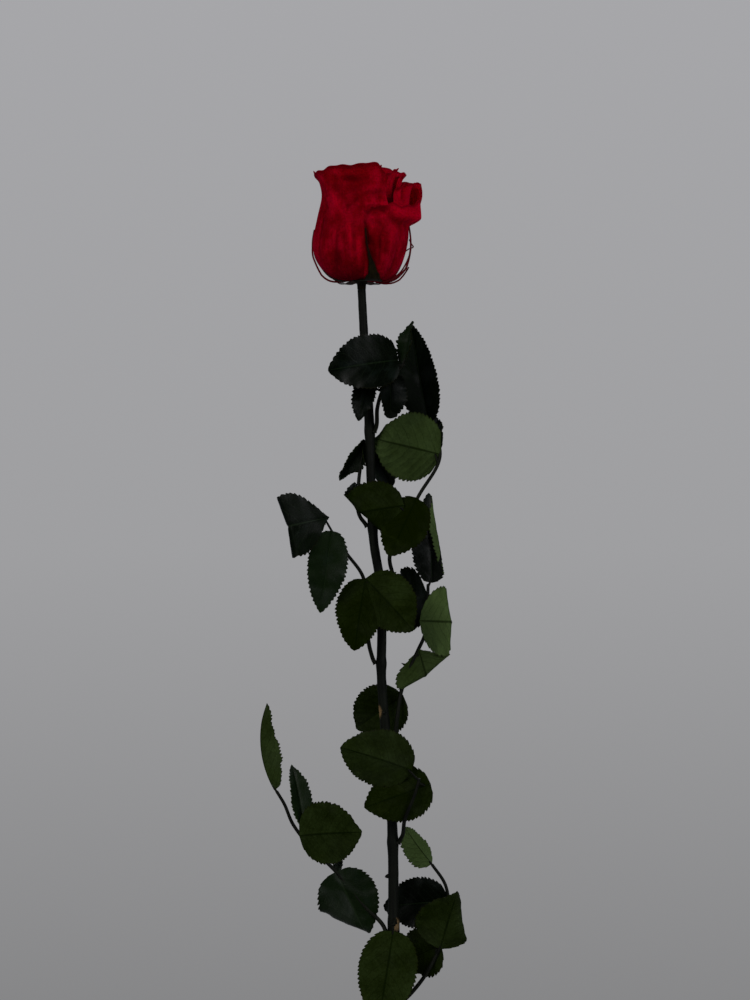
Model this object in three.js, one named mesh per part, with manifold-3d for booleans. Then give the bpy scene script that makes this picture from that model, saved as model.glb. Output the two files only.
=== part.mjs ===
// A long-stemmed rose, dried with its leaves on, standing in a small-necked vase.
// Millimetres, +Z up. The origin is the centre of the vase's base, and the rose
// is seen from the front along +Y, so negative Y is nearer to the viewer.
import * as THREE from 'three';
import { mergeVertices } from 'three/addons/utils/BufferGeometryUtils.js';
import Module from 'manifold-3d';

const wasm = await Module();
wasm.setup();

// ---------------------------------------------------------------- driving sizes
const GAP = 0.3; // air between pieces that touch
const BLADE = 0.7; // thickness of leaflets, petals and sepals
const FINENESS = 0.05; // faces flatter than this are joined

const VASE_HEIGHT = 185;
const VASE_FOOT_RADIUS = 27;
const VASE_BODY_RADIUS = 34;
const VASE_NECK_RADIUS = 11.8;
const VASE_RIM_RADIUS = 14;
const VASE_BORE_RADIUS = 7.8;
const VASE_FLOOR = 8;
const VASE_WALL = 4;
const VASE_SEGMENTS = 24;

const BLOOM_BASE = 558.5; // height of the lowest petals' plane
const HIP_HEIGHT = 2.8;
const STEM_TOP = BLOOM_BASE - HIP_HEIGHT - GAP;
const STEM_SIDES = 8;
const STEM_STEPS = 46;
const NODE_SWELLING = 0.16; // share of the radius added at a leaf's node
const NODE_REACH = 3; // half-length of a node's swelling
const THORN_ROOT = 1.5; // radius of a thorn where it leaves the stem
const THORN_TIP = 0.35;
const THORN_DROOP = 0.35; // drop of a thorn's tip, as a share of its length

const BLOOM_AXIS = [-20.2, 0.6];
const BLOOM_HEIGHT = 60;
const BLOOM_RADIUS = 25;
const PETAL_COUNT = 14;
const PETAL_SPACING = 1.55;
const GOLDEN_ANGLE = Math.PI * (3 - Math.sqrt(5));

const RACHIS_RADIUS = 0.85;
const RACHIS_STEP = 9; // length of one section of a leaf's stalk
const STUB_RADIUS = 0.7; // the short stalk of one leaflet
const STUB_OVERLAP = 2.5; // how far that stalk runs on under the blade
const TOOTH_DEPTH = 1.1;
const TOOTH_PITCH = 4.6; // length of margin that one tooth takes
const TOOTH_SHARE = 0.3; // a tooth is never deeper than this share of the half-width
const INNER_ROW = 0.55; // where the row between midrib and margin runs, as a share of the half-width
const RIPPLES = 11; // turn of the margin's waves along a blade, in radians
const RIPPLE_OFFSET = 1.7; // by how much the two margins' waves differ, in radians

// ---------------------------------------------------------------- materials
const matte = (color, roughness) => new THREE.MeshStandardMaterial({ color, roughness, metalness: 0 });
const petalRed = matte(0x5e020c, 0.75);
const sepalGreen = matte(0x1c2411, 0.7);
const stemBrown = matte(0x1a1c16, 0.65);
const leafGreen = matte(0x1a2609, 0.6);
const glaze = matte(0xd9d6cd, 0.3);

// ---------------------------------------------------------------- helpers
function seeded(seed) {
  let state = seed;
  return () => {
    state = (state * 1664525 + 1013904223) % 4294967296;
    return state / 4294967296;
  };
}

const clamp01 = (x) => Math.min(Math.max(x, 0), 1);
const smooth = (x) => clamp01(x) ** 2 * (3 - 2 * clamp01(x));
const radians = THREE.MathUtils.degToRad;
const vector = (p) => new THREE.Vector3(...p);

// Closed solid from points and triangles of point numbers.
function solidFrom(points, triangles) {
  return new wasm.Manifold(new wasm.Mesh({
    numProp: 3,
    vertProperties: new Float32Array(points.flatMap((p) => [p.x, p.y, p.z])),
    triVerts: new Uint32Array(triangles.flat()),
  }));
}

// Solid from a closed three.js geometry: shared corners merged, flat triangles dropped.
function solidOf(geometry) {
  const bare = geometry.clone();
  bare.deleteAttribute('normal');
  bare.deleteAttribute('uv');
  const merged = mergeVertices(bare, 1e-4);
  const place = merged.attributes.position;
  const points = [];
  for (let i = 0; i < place.count; i += 1) points.push(new THREE.Vector3().fromBufferAttribute(place, i));
  const triangles = [];
  for (let i = 0; i < merged.index.count; i += 3) {
    const [a, b, c] = [0, 1, 2].map((k) => merged.index.getX(i + k));
    if (a !== b && b !== c && c !== a) triangles.push([a, b, c]);
  }
  return solidFrom(points, triangles);
}

function meshOf(name, solid, material) {
  const { vertProperties, triVerts } = solid.getMesh();
  const geometry = new THREE.BufferGeometry();
  geometry.setAttribute('position', new THREE.BufferAttribute(vertProperties, 3));
  geometry.setIndex(new THREE.BufferAttribute(triVerts, 1));
  const flat = geometry.toNonIndexed();
  flat.computeVertexNormals();
  const mesh = new THREE.Mesh(flat, material);
  mesh.name = name;
  return mesh;
}

// Round bar along a curve, with its ends capped. radiusAt takes the share of the way along.
function bar(curve, radiusAt, steps, sides) {
  const frames = curve.computeFrenetFrames(steps, false);
  const points = [];
  for (let i = 0; i <= steps; i += 1) {
    const centre = curve.getPointAt(i / steps);
    const radius = radiusAt(i / steps, centre);
    for (let k = 0; k < sides; k += 1) {
      const angle = (2 * Math.PI * k) / sides;
      points.push(centre.clone()
        .addScaledVector(frames.normals[i], radius * Math.cos(angle))
        .addScaledVector(frames.binormals[i], radius * Math.sin(angle)));
    }
  }
  const triangles = [];
  for (let i = 0; i < steps; i += 1) {
    for (let k = 0; k < sides; k += 1) {
      const a = i * sides + k;
      const b = i * sides + ((k + 1) % sides);
      triangles.push([a, b, b + sides], [a, b + sides, a + sides]);
    }
  }
  const last = steps * sides;
  for (let k = 1; k < sides - 1; k += 1) {
    triangles.push([0, k + 1, k], [last, last + k, last + k + 1]);
  }
  return solidFrom(points, triangles);
}

// Thin closed sheet: place(u, v, through) gives a point for u from 0 to 1, v from -1 to 1
// and `through` at plus or minus half the blade's thickness.
function sheet(place, rows, columns) {
  const width = columns + 1;
  const layer = width * (rows + 1);
  const points = [];
  [BLADE / 2, -BLADE / 2].forEach((through) => {
    for (let i = 0; i <= rows; i += 1) {
      for (let j = 0; j <= columns; j += 1) points.push(place(i / rows, (2 * j) / columns - 1, through));
    }
  });
  const triangles = [];
  const quad = (a, b, c, d) => triangles.push([a, b, c], [a, c, d]);
  for (let i = 0; i < rows; i += 1) {
    for (let j = 0; j < columns; j += 1) {
      const a = i * width + j;
      quad(a, a + 1, a + width + 1, a + width);
      triangles.push([a + layer, a + layer + width + 1, a + layer + 1]);
      triangles.push([a + layer, a + layer + width, a + layer + width + 1]);
    }
    const left = i * width;
    const right = left + columns;
    quad(left, left + width, left + width + layer, left + layer);
    quad(right + width, right, right + layer, right + width + layer);
  }
  for (let j = 0; j < columns; j += 1) {
    const top = rows * width + j;
    quad(j + 1, j, j + layer, j + 1 + layer);
    quad(top, top + 1, top + 1 + layer, top + layer);
  }
  return solidFrom(points, triangles);
}

// ---------------------------------------------------------------- vase
function vase() {
  const outside = new THREE.SplineCurve([
    [VASE_FOOT_RADIUS, 1.2], [VASE_FOOT_RADIUS + 4.5, 16], [VASE_BODY_RADIUS, 42],
    [VASE_BODY_RADIUS - 6, 76], [VASE_NECK_RADIUS + 3.4, 112], [VASE_NECK_RADIUS, 146],
    [VASE_NECK_RADIUS + 0.6, 172], [VASE_RIM_RADIUS, VASE_HEIGHT - 2],
  ].map(([r, z]) => new THREE.Vector2(r, z)));
  const inside = new THREE.SplineCurve([
    [VASE_BORE_RADIUS, VASE_HEIGHT - 3], [VASE_BORE_RADIUS, 146], [VASE_NECK_RADIUS + 3.4 - VASE_WALL, 112],
    [VASE_BODY_RADIUS - 6 - VASE_WALL, 76], [VASE_BODY_RADIUS - VASE_WALL, 42],
    [VASE_FOOT_RADIUS - 1, VASE_FLOOR + 3],
  ].map(([r, z]) => new THREE.Vector2(r, z)));
  const profile = [
    new THREE.Vector2(0, 0),
    new THREE.Vector2(VASE_FOOT_RADIUS - 1.2, 0),
    ...outside.getPoints(11),
    new THREE.Vector2(VASE_RIM_RADIUS - 0.9, VASE_HEIGHT - 0.4),
    new THREE.Vector2(VASE_RIM_RADIUS - 3, VASE_HEIGHT),
    new THREE.Vector2(VASE_BORE_RADIUS + 1.4, VASE_HEIGHT - 0.7),
    ...inside.getPoints(7),
    new THREE.Vector2(VASE_FOOT_RADIUS - 6, VASE_FLOOR),
    new THREE.Vector2(0, VASE_FLOOR),
  ];
  return solidOf(new THREE.LatheGeometry(profile, VASE_SEGMENTS).rotateX(Math.PI / 2));
}

// ---------------------------------------------------------------- stem
// Centre line from the vase's floor to the bloom, as [x, y, z, radius].
const STEM_LINE = [
  [3.4, -0.4, VASE_FLOOR + GAP, 3.0],
  [0.6, 0, 75, 3.0],
  [-3.0, 0, 150, 2.95],
  [-4.5, 0, VASE_HEIGHT, 2.9],
  [-4.3, 0, 200, 2.8],
  [-4.25, 0, 240, 2.65],
  [-4.5, 0, 274.5, 2.6],
  [-5.75, 0, 305, 2.55],
  [-8.5, 0, 338, 2.5],
  [-10.3, 0, 362.5, 2.35],
  [-10.1, 0, 384, 2.35],
  [-10.7, 0, 407, 2.3],
  [-14.2, 0.2, 430, 2.3],
  [-15.5, 0.4, 459.5, 2.25],
  [-16.3, 0.5, 488, 2.45],
  [-19.0, 0.6, 532.5, 2.15],
  [BLOOM_AXIS[0], BLOOM_AXIS[1], STEM_TOP, 2.05],
];
const NODE_HEIGHTS = [484, 436.5, 397.5, 368, 331, 278.5, 239, 233, 197];
// Broken-off thorns and old scars, as [height, direction round the stem in degrees, length].
const THORNS = [
  [344, -92, 1.1], [447, 150, 1.6], [313, 20, 1.5], [262, 175, 1.7],
  [220, 15, 1.6], [229, -80, 1.2], [505, 200, 1.3], [176, 100, 1.5],
];

const stemCurve = new THREE.CatmullRomCurve3(STEM_LINE.map(([x, y, z]) => new THREE.Vector3(x, y, z)));

function stemRadius(z) {
  const found = STEM_LINE.findIndex((row, i) => i > 0 && row[2] >= z);
  const above = found < 0 ? STEM_LINE.length - 1 : found;
  const lower = STEM_LINE[above - 1];
  const upper = STEM_LINE[above];
  const plain = THREE.MathUtils.lerp(lower[3], upper[3], clamp01((z - lower[2]) / (upper[2] - lower[2])));
  const swelling = NODE_HEIGHTS.reduce((sum, node) => sum + Math.exp(-(((z - node) / NODE_REACH) ** 2)), 0);
  return plain * (1 + NODE_SWELLING * Math.min(swelling, 1));
}

// Point on the stem's centre line at a height.
function stemCentre(z) {
  let low = 0;
  let high = 1;
  for (let i = 0; i < 30; i += 1) {
    const middle = (low + high) / 2;
    if (stemCurve.getPoint(middle).z < z) low = middle;
    else high = middle;
  }
  return stemCurve.getPoint(low);
}

function stem() {
  const shaft = bar(stemCurve, (share, centre) => stemRadius(centre.z), STEM_STEPS, STEM_SIDES);
  const thorns = THORNS.map(([height, direction, length]) => {
    const centre = stemCentre(height);
    const out = new THREE.Vector3(Math.cos(radians(direction)), Math.sin(radians(direction)), 0);
    const root = centre.clone().addScaledVector(out, stemRadius(height) / 2);
    const tip = centre.clone().addScaledVector(out, stemRadius(height) + length);
    tip.z -= length * THORN_DROOP;
    const line = new THREE.LineCurve3(root, tip);
    return bar(line, (share) => THREE.MathUtils.lerp(THORN_ROOT, THORN_TIP, share), 1, 5);
  });
  return wasm.Manifold.union([shaft, ...thorns]);
}

// ---------------------------------------------------------------- leaflets
// Half-width of a leaflet, as a share of its greatest, at a share u along the midrib.
const leafletShape = (u) => Math.sin(Math.PI * u ** 0.74) ** (0.5 + 0.22 * u);

// Wraps space round a cylinder beyond a line across the blade: the line crosses the
// midrib at `start`, turned by `skew`, and the blade turns by `angle` towards its
// upper side (or, if negative, its underside).
function bend(point, { start, skew = 0, angle, radius }) {
  const side = Math.sign(angle);
  const turn = Math.abs(radians(angle));
  const across = [Math.cos(radians(skew)), Math.sin(radians(skew))];
  const beyond = (point.x - start) * across[0] + point.y * across[1];
  if (beyond <= 0) return point;
  const theta = Math.min(beyond / radius, turn);
  const rest = Math.max(beyond - radius * turn, 0);
  const height = side * point.z;
  const along = (radius - height) * Math.sin(theta) + rest * Math.cos(theta);
  const lifted = radius - (radius - height) * Math.cos(theta) + rest * Math.sin(theta);
  return new THREE.Vector3(
    point.x + (along - beyond) * across[0],
    point.y + (along - beyond) * across[1],
    side * lifted,
  );
}

// Turns a point of the flat blade (x along the midrib, y across, z through it) into its real form.
function formLeaflet(flat, leaflet, length) {
  const { fold = 14, arch = 18, wave = 0.7, phase = 0, curls = [] } = leaflet;
  const tilt = radians(fold);
  const half = (leaflet.width / 2) * Math.max(leafletShape(clamp01(flat.x / length)), 0.15);
  const swing = Math.sin((flat.x / length) * RIPPLES + phase + (flat.y > 0 ? RIPPLE_OFFSET : 0));
  const ripple = wave * swing * Math.min((flat.y / half) ** 2, 1);
  let point = new THREE.Vector3(
    flat.x,
    flat.y * Math.cos(tilt),
    flat.z + Math.abs(flat.y) * Math.sin(tilt) + ripple,
  );
  curls.forEach((curl) => {
    point = bend(point, { start: curl.at * length, skew: curl.skew, angle: curl.angle, radius: curl.radius });
  });
  const archRadius = length / radians(Math.max(Math.abs(arch), 1));
  return bend(point, { start: 0, angle: -arch, radius: archRadius });
}

// Axes of a leaflet: along the midrib, across, and out of its upper side.
function leafletAxes(leaflet) {
  const along = vector(leaflet.tip).sub(vector(leaflet.base)).normalize();
  const up = vector(leaflet.face).addScaledVector(along, -along.dot(vector(leaflet.face))).normalize();
  return [along, new THREE.Vector3().crossVectors(up, along), up];
}

// Triangles between two rows of points that share their first and last point.
function strip(rowA, rowB) {
  const triangles = [[rowA[0], rowA[1], rowB[1]]];
  let i = 1;
  let j = 1;
  while (i < rowA.length - 2 || j < rowB.length - 2) {
    const stepA = j >= rowB.length - 2 || (i < rowA.length - 2 && rowA[i + 1].u <= rowB[j + 1].u);
    if (stepA) {
      triangles.push([rowA[i], rowA[i + 1], rowB[j]]);
      i += 1;
    } else {
      triangles.push([rowA[i], rowB[j + 1], rowB[j]]);
      j += 1;
    }
  }
  triangles.push([rowA[i], rowA[i + 1], rowB[j]]);
  return triangles;
}

// A blade with a toothed margin: its two faces are split alike and joined by a rim.
function leafletBlade(leaflet) {
  const reach = vector(leaflet.tip).distanceTo(vector(leaflet.base));
  const length = leaflet.length ?? reach;
  const half = leaflet.width / 2;
  const teeth = Math.max(Math.round(length / TOOTH_PITCH), 4);
  const columns = leaflet.curls ? 10 : 6;
  const base = { u: 0, y: 0 };
  const tip = { u: 1, y: 0 };
  const row = (share, side) => {
    const points = [];
    for (let i = 1; i < columns; i += 1) {
      const u = i / columns;
      points.push({ u, y: side * share * half * leafletShape(u) });
    }
    return [base, ...points, tip];
  };
  const margin = (side) => {
    const points = [];
    for (let i = 0; i < teeth; i += 1) {
      const notch = (i + 0.5) / (teeth + 0.5);
      const depth = Math.min(TOOTH_DEPTH, TOOTH_SHARE * half * leafletShape(notch));
      points.push({ u: notch, y: side * (half * leafletShape(notch) - depth) });
      const peak = (i + 1.25) / (teeth + 0.5);
      if (peak < 0.99) points.push({ u: peak, y: side * half * leafletShape(peak) });
    }
    return [base, ...points, tip];
  };
  const midrib = row(0, 1);
  const left = [margin(1), row(INNER_ROW, 1)];
  const right = [margin(-1), row(INNER_ROW, -1)];
  const turned = ([a, b, c]) => [a, c, b];
  const faces = [
    ...[...strip(left[0], left[1]), ...strip(left[1], midrib)].map(turned),
    ...strip(right[0], right[1]), ...strip(right[1], midrib),
  ];
  const flats = [...new Set(faces.flat())];
  const number = new Map(flats.map((flat, i) => [flat, i]));
  const [along, across, up] = leafletAxes(leaflet);
  const place = (flat, z) => {
    const p = formLeaflet(new THREE.Vector3(flat.u * length, flat.y, z), leaflet, length);
    return vector(leaflet.base)
      .addScaledVector(along, p.x)
      .addScaledVector(across, p.y)
      .addScaledVector(up, p.z);
  };
  const points = [...flats.map((f) => place(f, BLADE / 2)), ...flats.map((f) => place(f, -BLADE / 2))];
  const triangles = [];
  faces.forEach((face) => {
    const [i, j, k] = face.map((flat) => number.get(flat));
    triangles.push([i, j, k], [i + flats.length, k + flats.length, j + flats.length]);
  });
  const ring = [...left[0], ...right[0].slice(1, -1).reverse()].map((flat) => number.get(flat));
  ring.forEach((a, i) => {
    const b = ring[(i + 1) % ring.length];
    triangles.push([a, b, b + flats.length], [a, b + flats.length, a + flats.length]);
  });
  return solidFrom(points, triangles);
}

// ---------------------------------------------------------------- leaves
// Each leaf springs from the stem at `node` (height, direction in degrees); its stalk runs
// through `stalk`, and every leaflet goes from `base` to `tip` with its upper side towards `face`.
const LEAVES = [
  {
    name: 'leaf_1',
    node: [484, -40],
    stalk: [[-12.3, -4.8, 496], [-10, -6.6, 504], [-3.5, -10, 513.5], [1.3, -11.5, 517.6]],
    leaflets: [
      { base: [-2.2, -12.4, 519.5], tip: [-36, -21, 515.5], width: 28, face: [0.3, -1, 0.3], phase: 1 },
      { base: [1.5, -11.5, 518], tip: [2.6, -10, 539.5], width: 13, face: [-0.85, -0.6, 0.1], fold: 32 },
      { base: [-7.4, -8.6, 505.5], tip: [-5, -15, 485], width: 13, face: [0.5, -1, 0.1], fold: 24 },
      { base: [-17, -7.2, 510], tip: [-22, -13, 490], width: 12, face: [-0.1, -1, 0.1], fold: 18 },
    ],
  },
  {
    name: 'leaf_2',
    node: [397.5, 20],
    stalk: [
      [-4, 0.6, 407], [-6.2, -1.6, 421.5], [1.5, -3.4, 439], [8, -2.6, 451.5], [19.2, 5, 473], [13, 11, 492],
    ],
    leaflets: [
      { base: [13.6, 11, 489], tip: [2.6, 12, 539.5], width: 24, face: [-0.3, -1, 0.1], fold: 28, phase: 2 },
      {
        base: [19, 5, 473], tip: [-11, 3, 480.5], length: 36, width: 36, face: [0.1, 1, 0.1], fold: 8,
        phase: 0.5, curls: [{ at: 0.72, skew: 8, angle: 80, radius: 5 }],
      },
      { base: [19.2, 5.6, 475], tip: [12, 24, 492], width: 18, face: [-0.7, -0.7, 0.3], fold: 20 },
      {
        base: [0.8, -4.8, 447.5], tip: [-24, -12.8, 443], length: 44, width: 29, face: [0, 1, 0.1], fold: 6,
        curls: [{ at: 0.49, skew: -27, angle: 165, radius: 2.2 }],
      },
      { base: [8, -4, 451], tip: [-10, -13, 419], width: 24, face: [0.2, 1, 0.1], phase: 2.4 },
    ],
  },
  {
    name: 'leaf_3',
    node: [368, 178],
    stalk: [[-15.6, -1.5, 374], [-18, -5.6, 400], [-19.2, -6.8, 411], [-28, -10, 424], [-35.2, -13, 434.6]],
    leaflets: [
      {
        base: [-35.6, -13, 433.5], tip: [-59, -20, 439], length: 48, width: 31, face: [-0.2, -1, 0.1],
        fold: 6, curls: [{ at: 0.48, skew: 26, angle: -160, radius: 2.4 }],
      },
      { base: [-35, -13.4, 434.6], tip: [-40, -20, 394.5], width: 21, face: [0.1, -1, 0.1], phase: 0.7 },
      { base: [-18.4, -7.4, 410.5], tip: [-25, -18, 374], width: 25, face: [-0.15, 1, 0.1], phase: 2 },
      { base: [-18, -7.6, 411], tip: [7.4, -18, 385], width: 29, face: [0.1, 1, 0.1], phase: 1.1 },
    ],
  },
  {
    name: 'leaf_4',
    node: [331, 10],
    stalk: [
      [-2.4, 1.2, 341], [-0.6, 3.4, 353], [8, 4.4, 374.5], [11, 5.4, 381], [13, 8, 400], [13.2, 9, 408],
    ],
    leaflets: [
      {
        base: [13.3, 9, 408.5], tip: [13.8, 15, 454], width: 30, face: [0, -1, 0.1], fold: 8, arch: 8,
        curls: [{ at: 1.5, skew: -84, angle: 150, radius: 1.8 }],
      },
      { base: [13, 8.4, 401.5], tip: [-4, 24, 398], width: 34, face: [-0.2, -1, 0.1], phase: 2.2 },
      {
        base: [9, 3.4, 389.5], tip: [24, -1, 389.2], length: 31, width: 35, face: [0.1, 1, 0], fold: 6,
        curls: [{ at: 0.42, skew: -6, angle: 150, radius: 2.4 }],
      },
      {
        base: [8.6, 4, 375], tip: [12.4, 0, 361.5], length: 34, width: 33, face: [0.1, 1, 0.1], fold: 6,
        curls: [{ at: 0.33, skew: -20, angle: 150, radius: 2.4 }],
      },
      { base: [0.4, 5.8, 352], tip: [-25, 18, 333], width: 29, face: [0.1, -1, 0.1], phase: 0.4 },
    ],
  },
  {
    name: 'leaf_5',
    node: [436.5, 170],
    stalk: [[-20.6, 1, 441], [-21.8, 2.6, 456.5], [-20.6, 4.4, 468], [-18.6, 6, 479.5]],
    leaflets: [
      {
        base: [-18.6, 6, 480], tip: [-31, 2, 458.5], width: 14, face: [0.7, -0.7, 0.3], fold: 40,
        curls: [{ at: 0.7, skew: 30, angle: 70, radius: 4 }],
      },
      { base: [-18, 6.2, 479.6], tip: [-2.6, 14, 456.5], width: 15, face: [0.2, -1, 0.3], fold: 24 },
    ],
  },
  {
    name: 'leaf_6',
    node: [278.5, -30],
    stalk: [[0.2, -5.4, 283], [1.4, -7.6, 292], [6.2, -10, 304], [8.6, -11, 312]],
    leaflets: [
      { base: [5.6, -11.4, 314], tip: [-31.6, -20, 328], width: 30, face: [0.1, 1, 0.1], phase: 2.6 },
      { base: [14, -9.4, 309], tip: [-19, -9.4, 297], width: 29, face: [0.1, 1, -0.1], phase: 0.9 },
    ],
  },
  {
    name: 'leaf_7',
    node: [233, 200],
    stalk: [
      [-9, -0.6, 236.5], [-18, 1, 246], [-33, 5, 263.5], [-49, 9, 279], [-55, 11, 287],
      [-59.4, 12.6, 297], [-63.4, 14, 303.4],
    ],
    leaflets: [
      {
        base: [-64, 14, 303.8], tip: [-85.5, 15, 341], length: 45, width: 20, face: [1, 0.25, 0.5],
        fold: 58, arch: -50, phase: 1.6,
      },
      { base: [-49.4, 10, 285], tip: [-53.4, 18, 317.5], width: 14, face: [0.5, -0.9, 0], fold: 24 },
      { base: [-51.4, 8.4, 281.6], tip: [-18.4, 0, 285.5], width: 33, face: [0.1, 1, 0.1], phase: 0.2 },
      {
        base: [-33, 4.6, 263.5], tip: [-18, -4, 233], length: 36, width: 31, face: [0, -1, 0.1], fold: 8,
        curls: [{ at: 0.8, skew: -54, angle: -140, radius: 2.2 }],
      },
      { base: [-33.4, 5, 263.4], tip: [-30.4, 9, 270.5], width: 5, face: [0, -1, 0.2] },
    ],
  },
  {
    name: 'leaf_8',
    node: [197, 20],
    stalk: [[2.2, 2.6, 200.6], [9, 4, 208], [19.6, 7, 227], [23.6, 9, 246], [22, 10, 256], [14.8, 11, 267]],
    leaflets: [
      { base: [15, 11, 266.8], tip: [-0.8, 6, 285.5], width: 17, face: [-0.5, 0.9, -0.3], fold: 26 },
      { base: [23.2, 9.2, 248.5], tip: [-11, 18, 244.5], width: 27, face: [0.1, -1, 0.2], phase: 1.2 },
      {
        base: [19.6, 5.4, 228], tip: [27, -4, 256.5], length: 31, width: 32, face: [-0.1, 1, 0.1], fold: 6,
        curls: [{ at: 0.9, skew: 67, angle: 140, radius: 2.2 }],
      },
      { base: [19.4, 7, 226.4], tip: [0.5, 14, 217], width: 27, face: [0.1, -1, 0.2], phase: 2 },
    ],
  },
  {
    name: 'leaf_9',
    node: [239, -80],
    stalk: [[-4, -5.4, 239.5], [-4.4, -6.6, 238]],
    leaflets: [
      { base: [-4.4, -6.4, 237.5], tip: [-11.5, -17, 192.5], width: 31, face: [0.1, 1, 0.1], phase: 0.6 },
    ],
  },
];

// Nearest point of a stalk to a place.
function nearestOn(curve, place) {
  const steps = 120;
  let best = curve.getPoint(0);
  for (let i = 1; i <= steps; i += 1) {
    const point = curve.getPoint(i / steps);
    if (point.distanceTo(place) < best.distanceTo(place)) best = point;
  }
  return best;
}

// A leaf: its stalk, each leaflet, and the short stalk that joins the leaflet to it.
function leaf({ node, stalk, leaflets }) {
  const [height, direction] = node;
  const out = new THREE.Vector3(Math.cos(radians(direction)), Math.sin(radians(direction)), 0);
  const start = stemCentre(height).addScaledVector(out, stemRadius(height) + 1.5 * GAP);
  const curve = new THREE.CatmullRomCurve3(
    [start, start.clone().addScaledVector(out, 4 * GAP), ...stalk.map(vector)],
    false,
    'chordal',
  );
  const steps = Math.max(Math.round(curve.getLength() / RACHIS_STEP), 3);
  const taper = (share) => RACHIS_RADIUS * THREE.MathUtils.lerp(1.25, 0.9, share);
  const solids = [bar(curve, taper, steps, 5)];
  leaflets.forEach((leaflet) => {
    const [along, , up] = leafletAxes(leaflet);
    const root = nearestOn(curve, vector(leaflet.base));
    const end = vector(leaflet.base).addScaledVector(along, STUB_OVERLAP).addScaledVector(up, -0.15);
    const stub = new THREE.LineCurve3(root, end);
    solids.push(bar(stub, (share) => STUB_RADIUS * THREE.MathUtils.lerp(1, 0.8, share), 1, 4));
    solids.push(leafletBlade(leaflet));
  });
  return wasm.Manifold.union(solids).simplify(FINENESS);
}

// ---------------------------------------------------------------- bloom
// Half-section of the outermost petal, from the heart to the lip, as [radius, height].
const petalSection = new THREE.SplineCurve([
  [3, 3.5], [12, 1.4], [20, 3.6], [24, 10.8], [BLOOM_RADIUS, 21],
  [23.2, 33], [21, 43.5], [21.8, 51.5], [24.4, BLOOM_HEIGHT - 1.5],
].map(([r, z]) => new THREE.Vector2(r, z)));

// The petals that show most, from the outside in: direction they face and half their
// spread (degrees), height as a share, how far the lip leans out (mm), and by how much
// of itself the petal gains in height and lean towards one edge.
const OUTER_PETALS = [
  { facing: -40, spread: 50, height: 0.8, lip: 4, slant: 0.16 },
  { facing: -127, spread: 64, height: 0.97, lip: 1.6, slant: 0 },
  { facing: 150, spread: 58, height: 0.96, lip: 1.2, slant: 0 },
  { facing: 62, spread: 58, height: 1.0, lip: 1.8, slant: -0.03 },
  { facing: -12, spread: 60, height: 0.97, lip: 1.2, slant: 0 },
];

const OUTER_GRID = [7, 7]; // rows and columns of faces on a petal that shows
const INNER_GRID = [4, 6];
const SLANT_LEAN = 7; // a slanted petal's lip leans out more on its high side
const OPENING_START = 0.56; // the share of a petal's length from which its lip leans out
const SIDE_TAPER = 0.17; // by how much the bloom's foot is slimmer on its +X side, as a share
const TAPER_HEIGHT = 34; // height over which that fades
const CORNER_DROP = 0.12; // how far the corners of a petal sit below its middle, as a share
const PINWHEEL = 0.22; // by how much one edge of a petal stands out further than its middle

// A point of a petal: u from the heart to the lip, v from -1 to 1 across.
function petalPoint(petal, u, v, through) {
  const { facing, spread, inset, height, lip, slant } = petal;
  const reach = u * height * (1 + slant * v) * (1 - CORNER_DROP * Math.abs(v) ** 3);
  const section = petalSection.getPoint(clamp01(reach));
  const opening = smooth((u - OPENING_START) / (1 - OPENING_START));
  const share = 1 - inset / BLOOM_RADIUS;
  const lean = lip * (1 + SLANT_LEAN * slant * v) * opening;
  const angle = radians(facing) + radians(spread) * v * (0.3 + 0.7 * smooth(u / 0.3));
  const slim = 1 - SIDE_TAPER * Math.max(Math.cos(angle), 0) * (1 - smooth(section.y / TAPER_HEIGHT));
  const radius = section.x * share * slim + lean + PINWHEEL * v + through;
  const rise = section.y + inset * 0.85 * (1 - smooth(u)) - 0.3 * lean;
  return new THREE.Vector3(
    BLOOM_AXIS[0] + radius * Math.cos(angle),
    BLOOM_AXIS[1] + radius * Math.sin(angle),
    BLOOM_BASE + rise,
  );
}

function bloom() {
  const random = seeded(7);
  const petals = [];
  for (let i = 0; i < PETAL_COUNT; i += 1) {
    const inner = i / (PETAL_COUNT - 1);
    const shape = OUTER_PETALS[i] ?? {
      facing: 40 + THREE.MathUtils.radToDeg(i * GOLDEN_ANGLE),
      spread: THREE.MathUtils.lerp(54, 112, inner),
      height: 0.95 + 0.05 * random(),
      lip: 1.4 * (1 - inner),
      slant: 0,
    };
    const petal = { ...shape, inset: i * PETAL_SPACING };
    const grid = i < OUTER_PETALS.length ? OUTER_GRID : INNER_GRID;
    petals.push(sheet((u, v, through) => petalPoint(petal, u, v, through), ...grid));
  }
  const core = new THREE.LatheGeometry(
    [[0, 2.7], [5, 2.7], [7.5, 4], [6.5, 11], [5, 20], [2.5, 27], [0, 29]]
      .map(([r, z]) => new THREE.Vector2(r, z)),
    14,
  );
  core.rotateX(Math.PI / 2).translate(BLOOM_AXIS[0], BLOOM_AXIS[1], BLOOM_BASE);
  return wasm.Manifold.union([solidOf(core), ...petals]).simplify(FINENESS);
}

// ---------------------------------------------------------------- calyx
// Sepals as direction round the bloom (degrees), share of the petal's section that they
// climb, width at the root, and how far the tip stands off the petals.
const SEPALS = [
  { facing: -77, climb: 0.56, width: 6.0, stand: 0.2 },
  { facing: -8, climb: 0.44, width: 3.4, stand: 0.2 },
  { facing: 200, climb: 0.3, width: 5.0, stand: 0.3 },
  { facing: 58, climb: 0.5, width: 5.4, stand: 0.8 },
  { facing: 128, climb: 0.54, width: 5.6, stand: 0.4 },
];
const SEPAL_ROWS = 6;
const SEPAL_CLEARANCE = 1.3; // from the middle of a petal to the middle of a sepal

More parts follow.
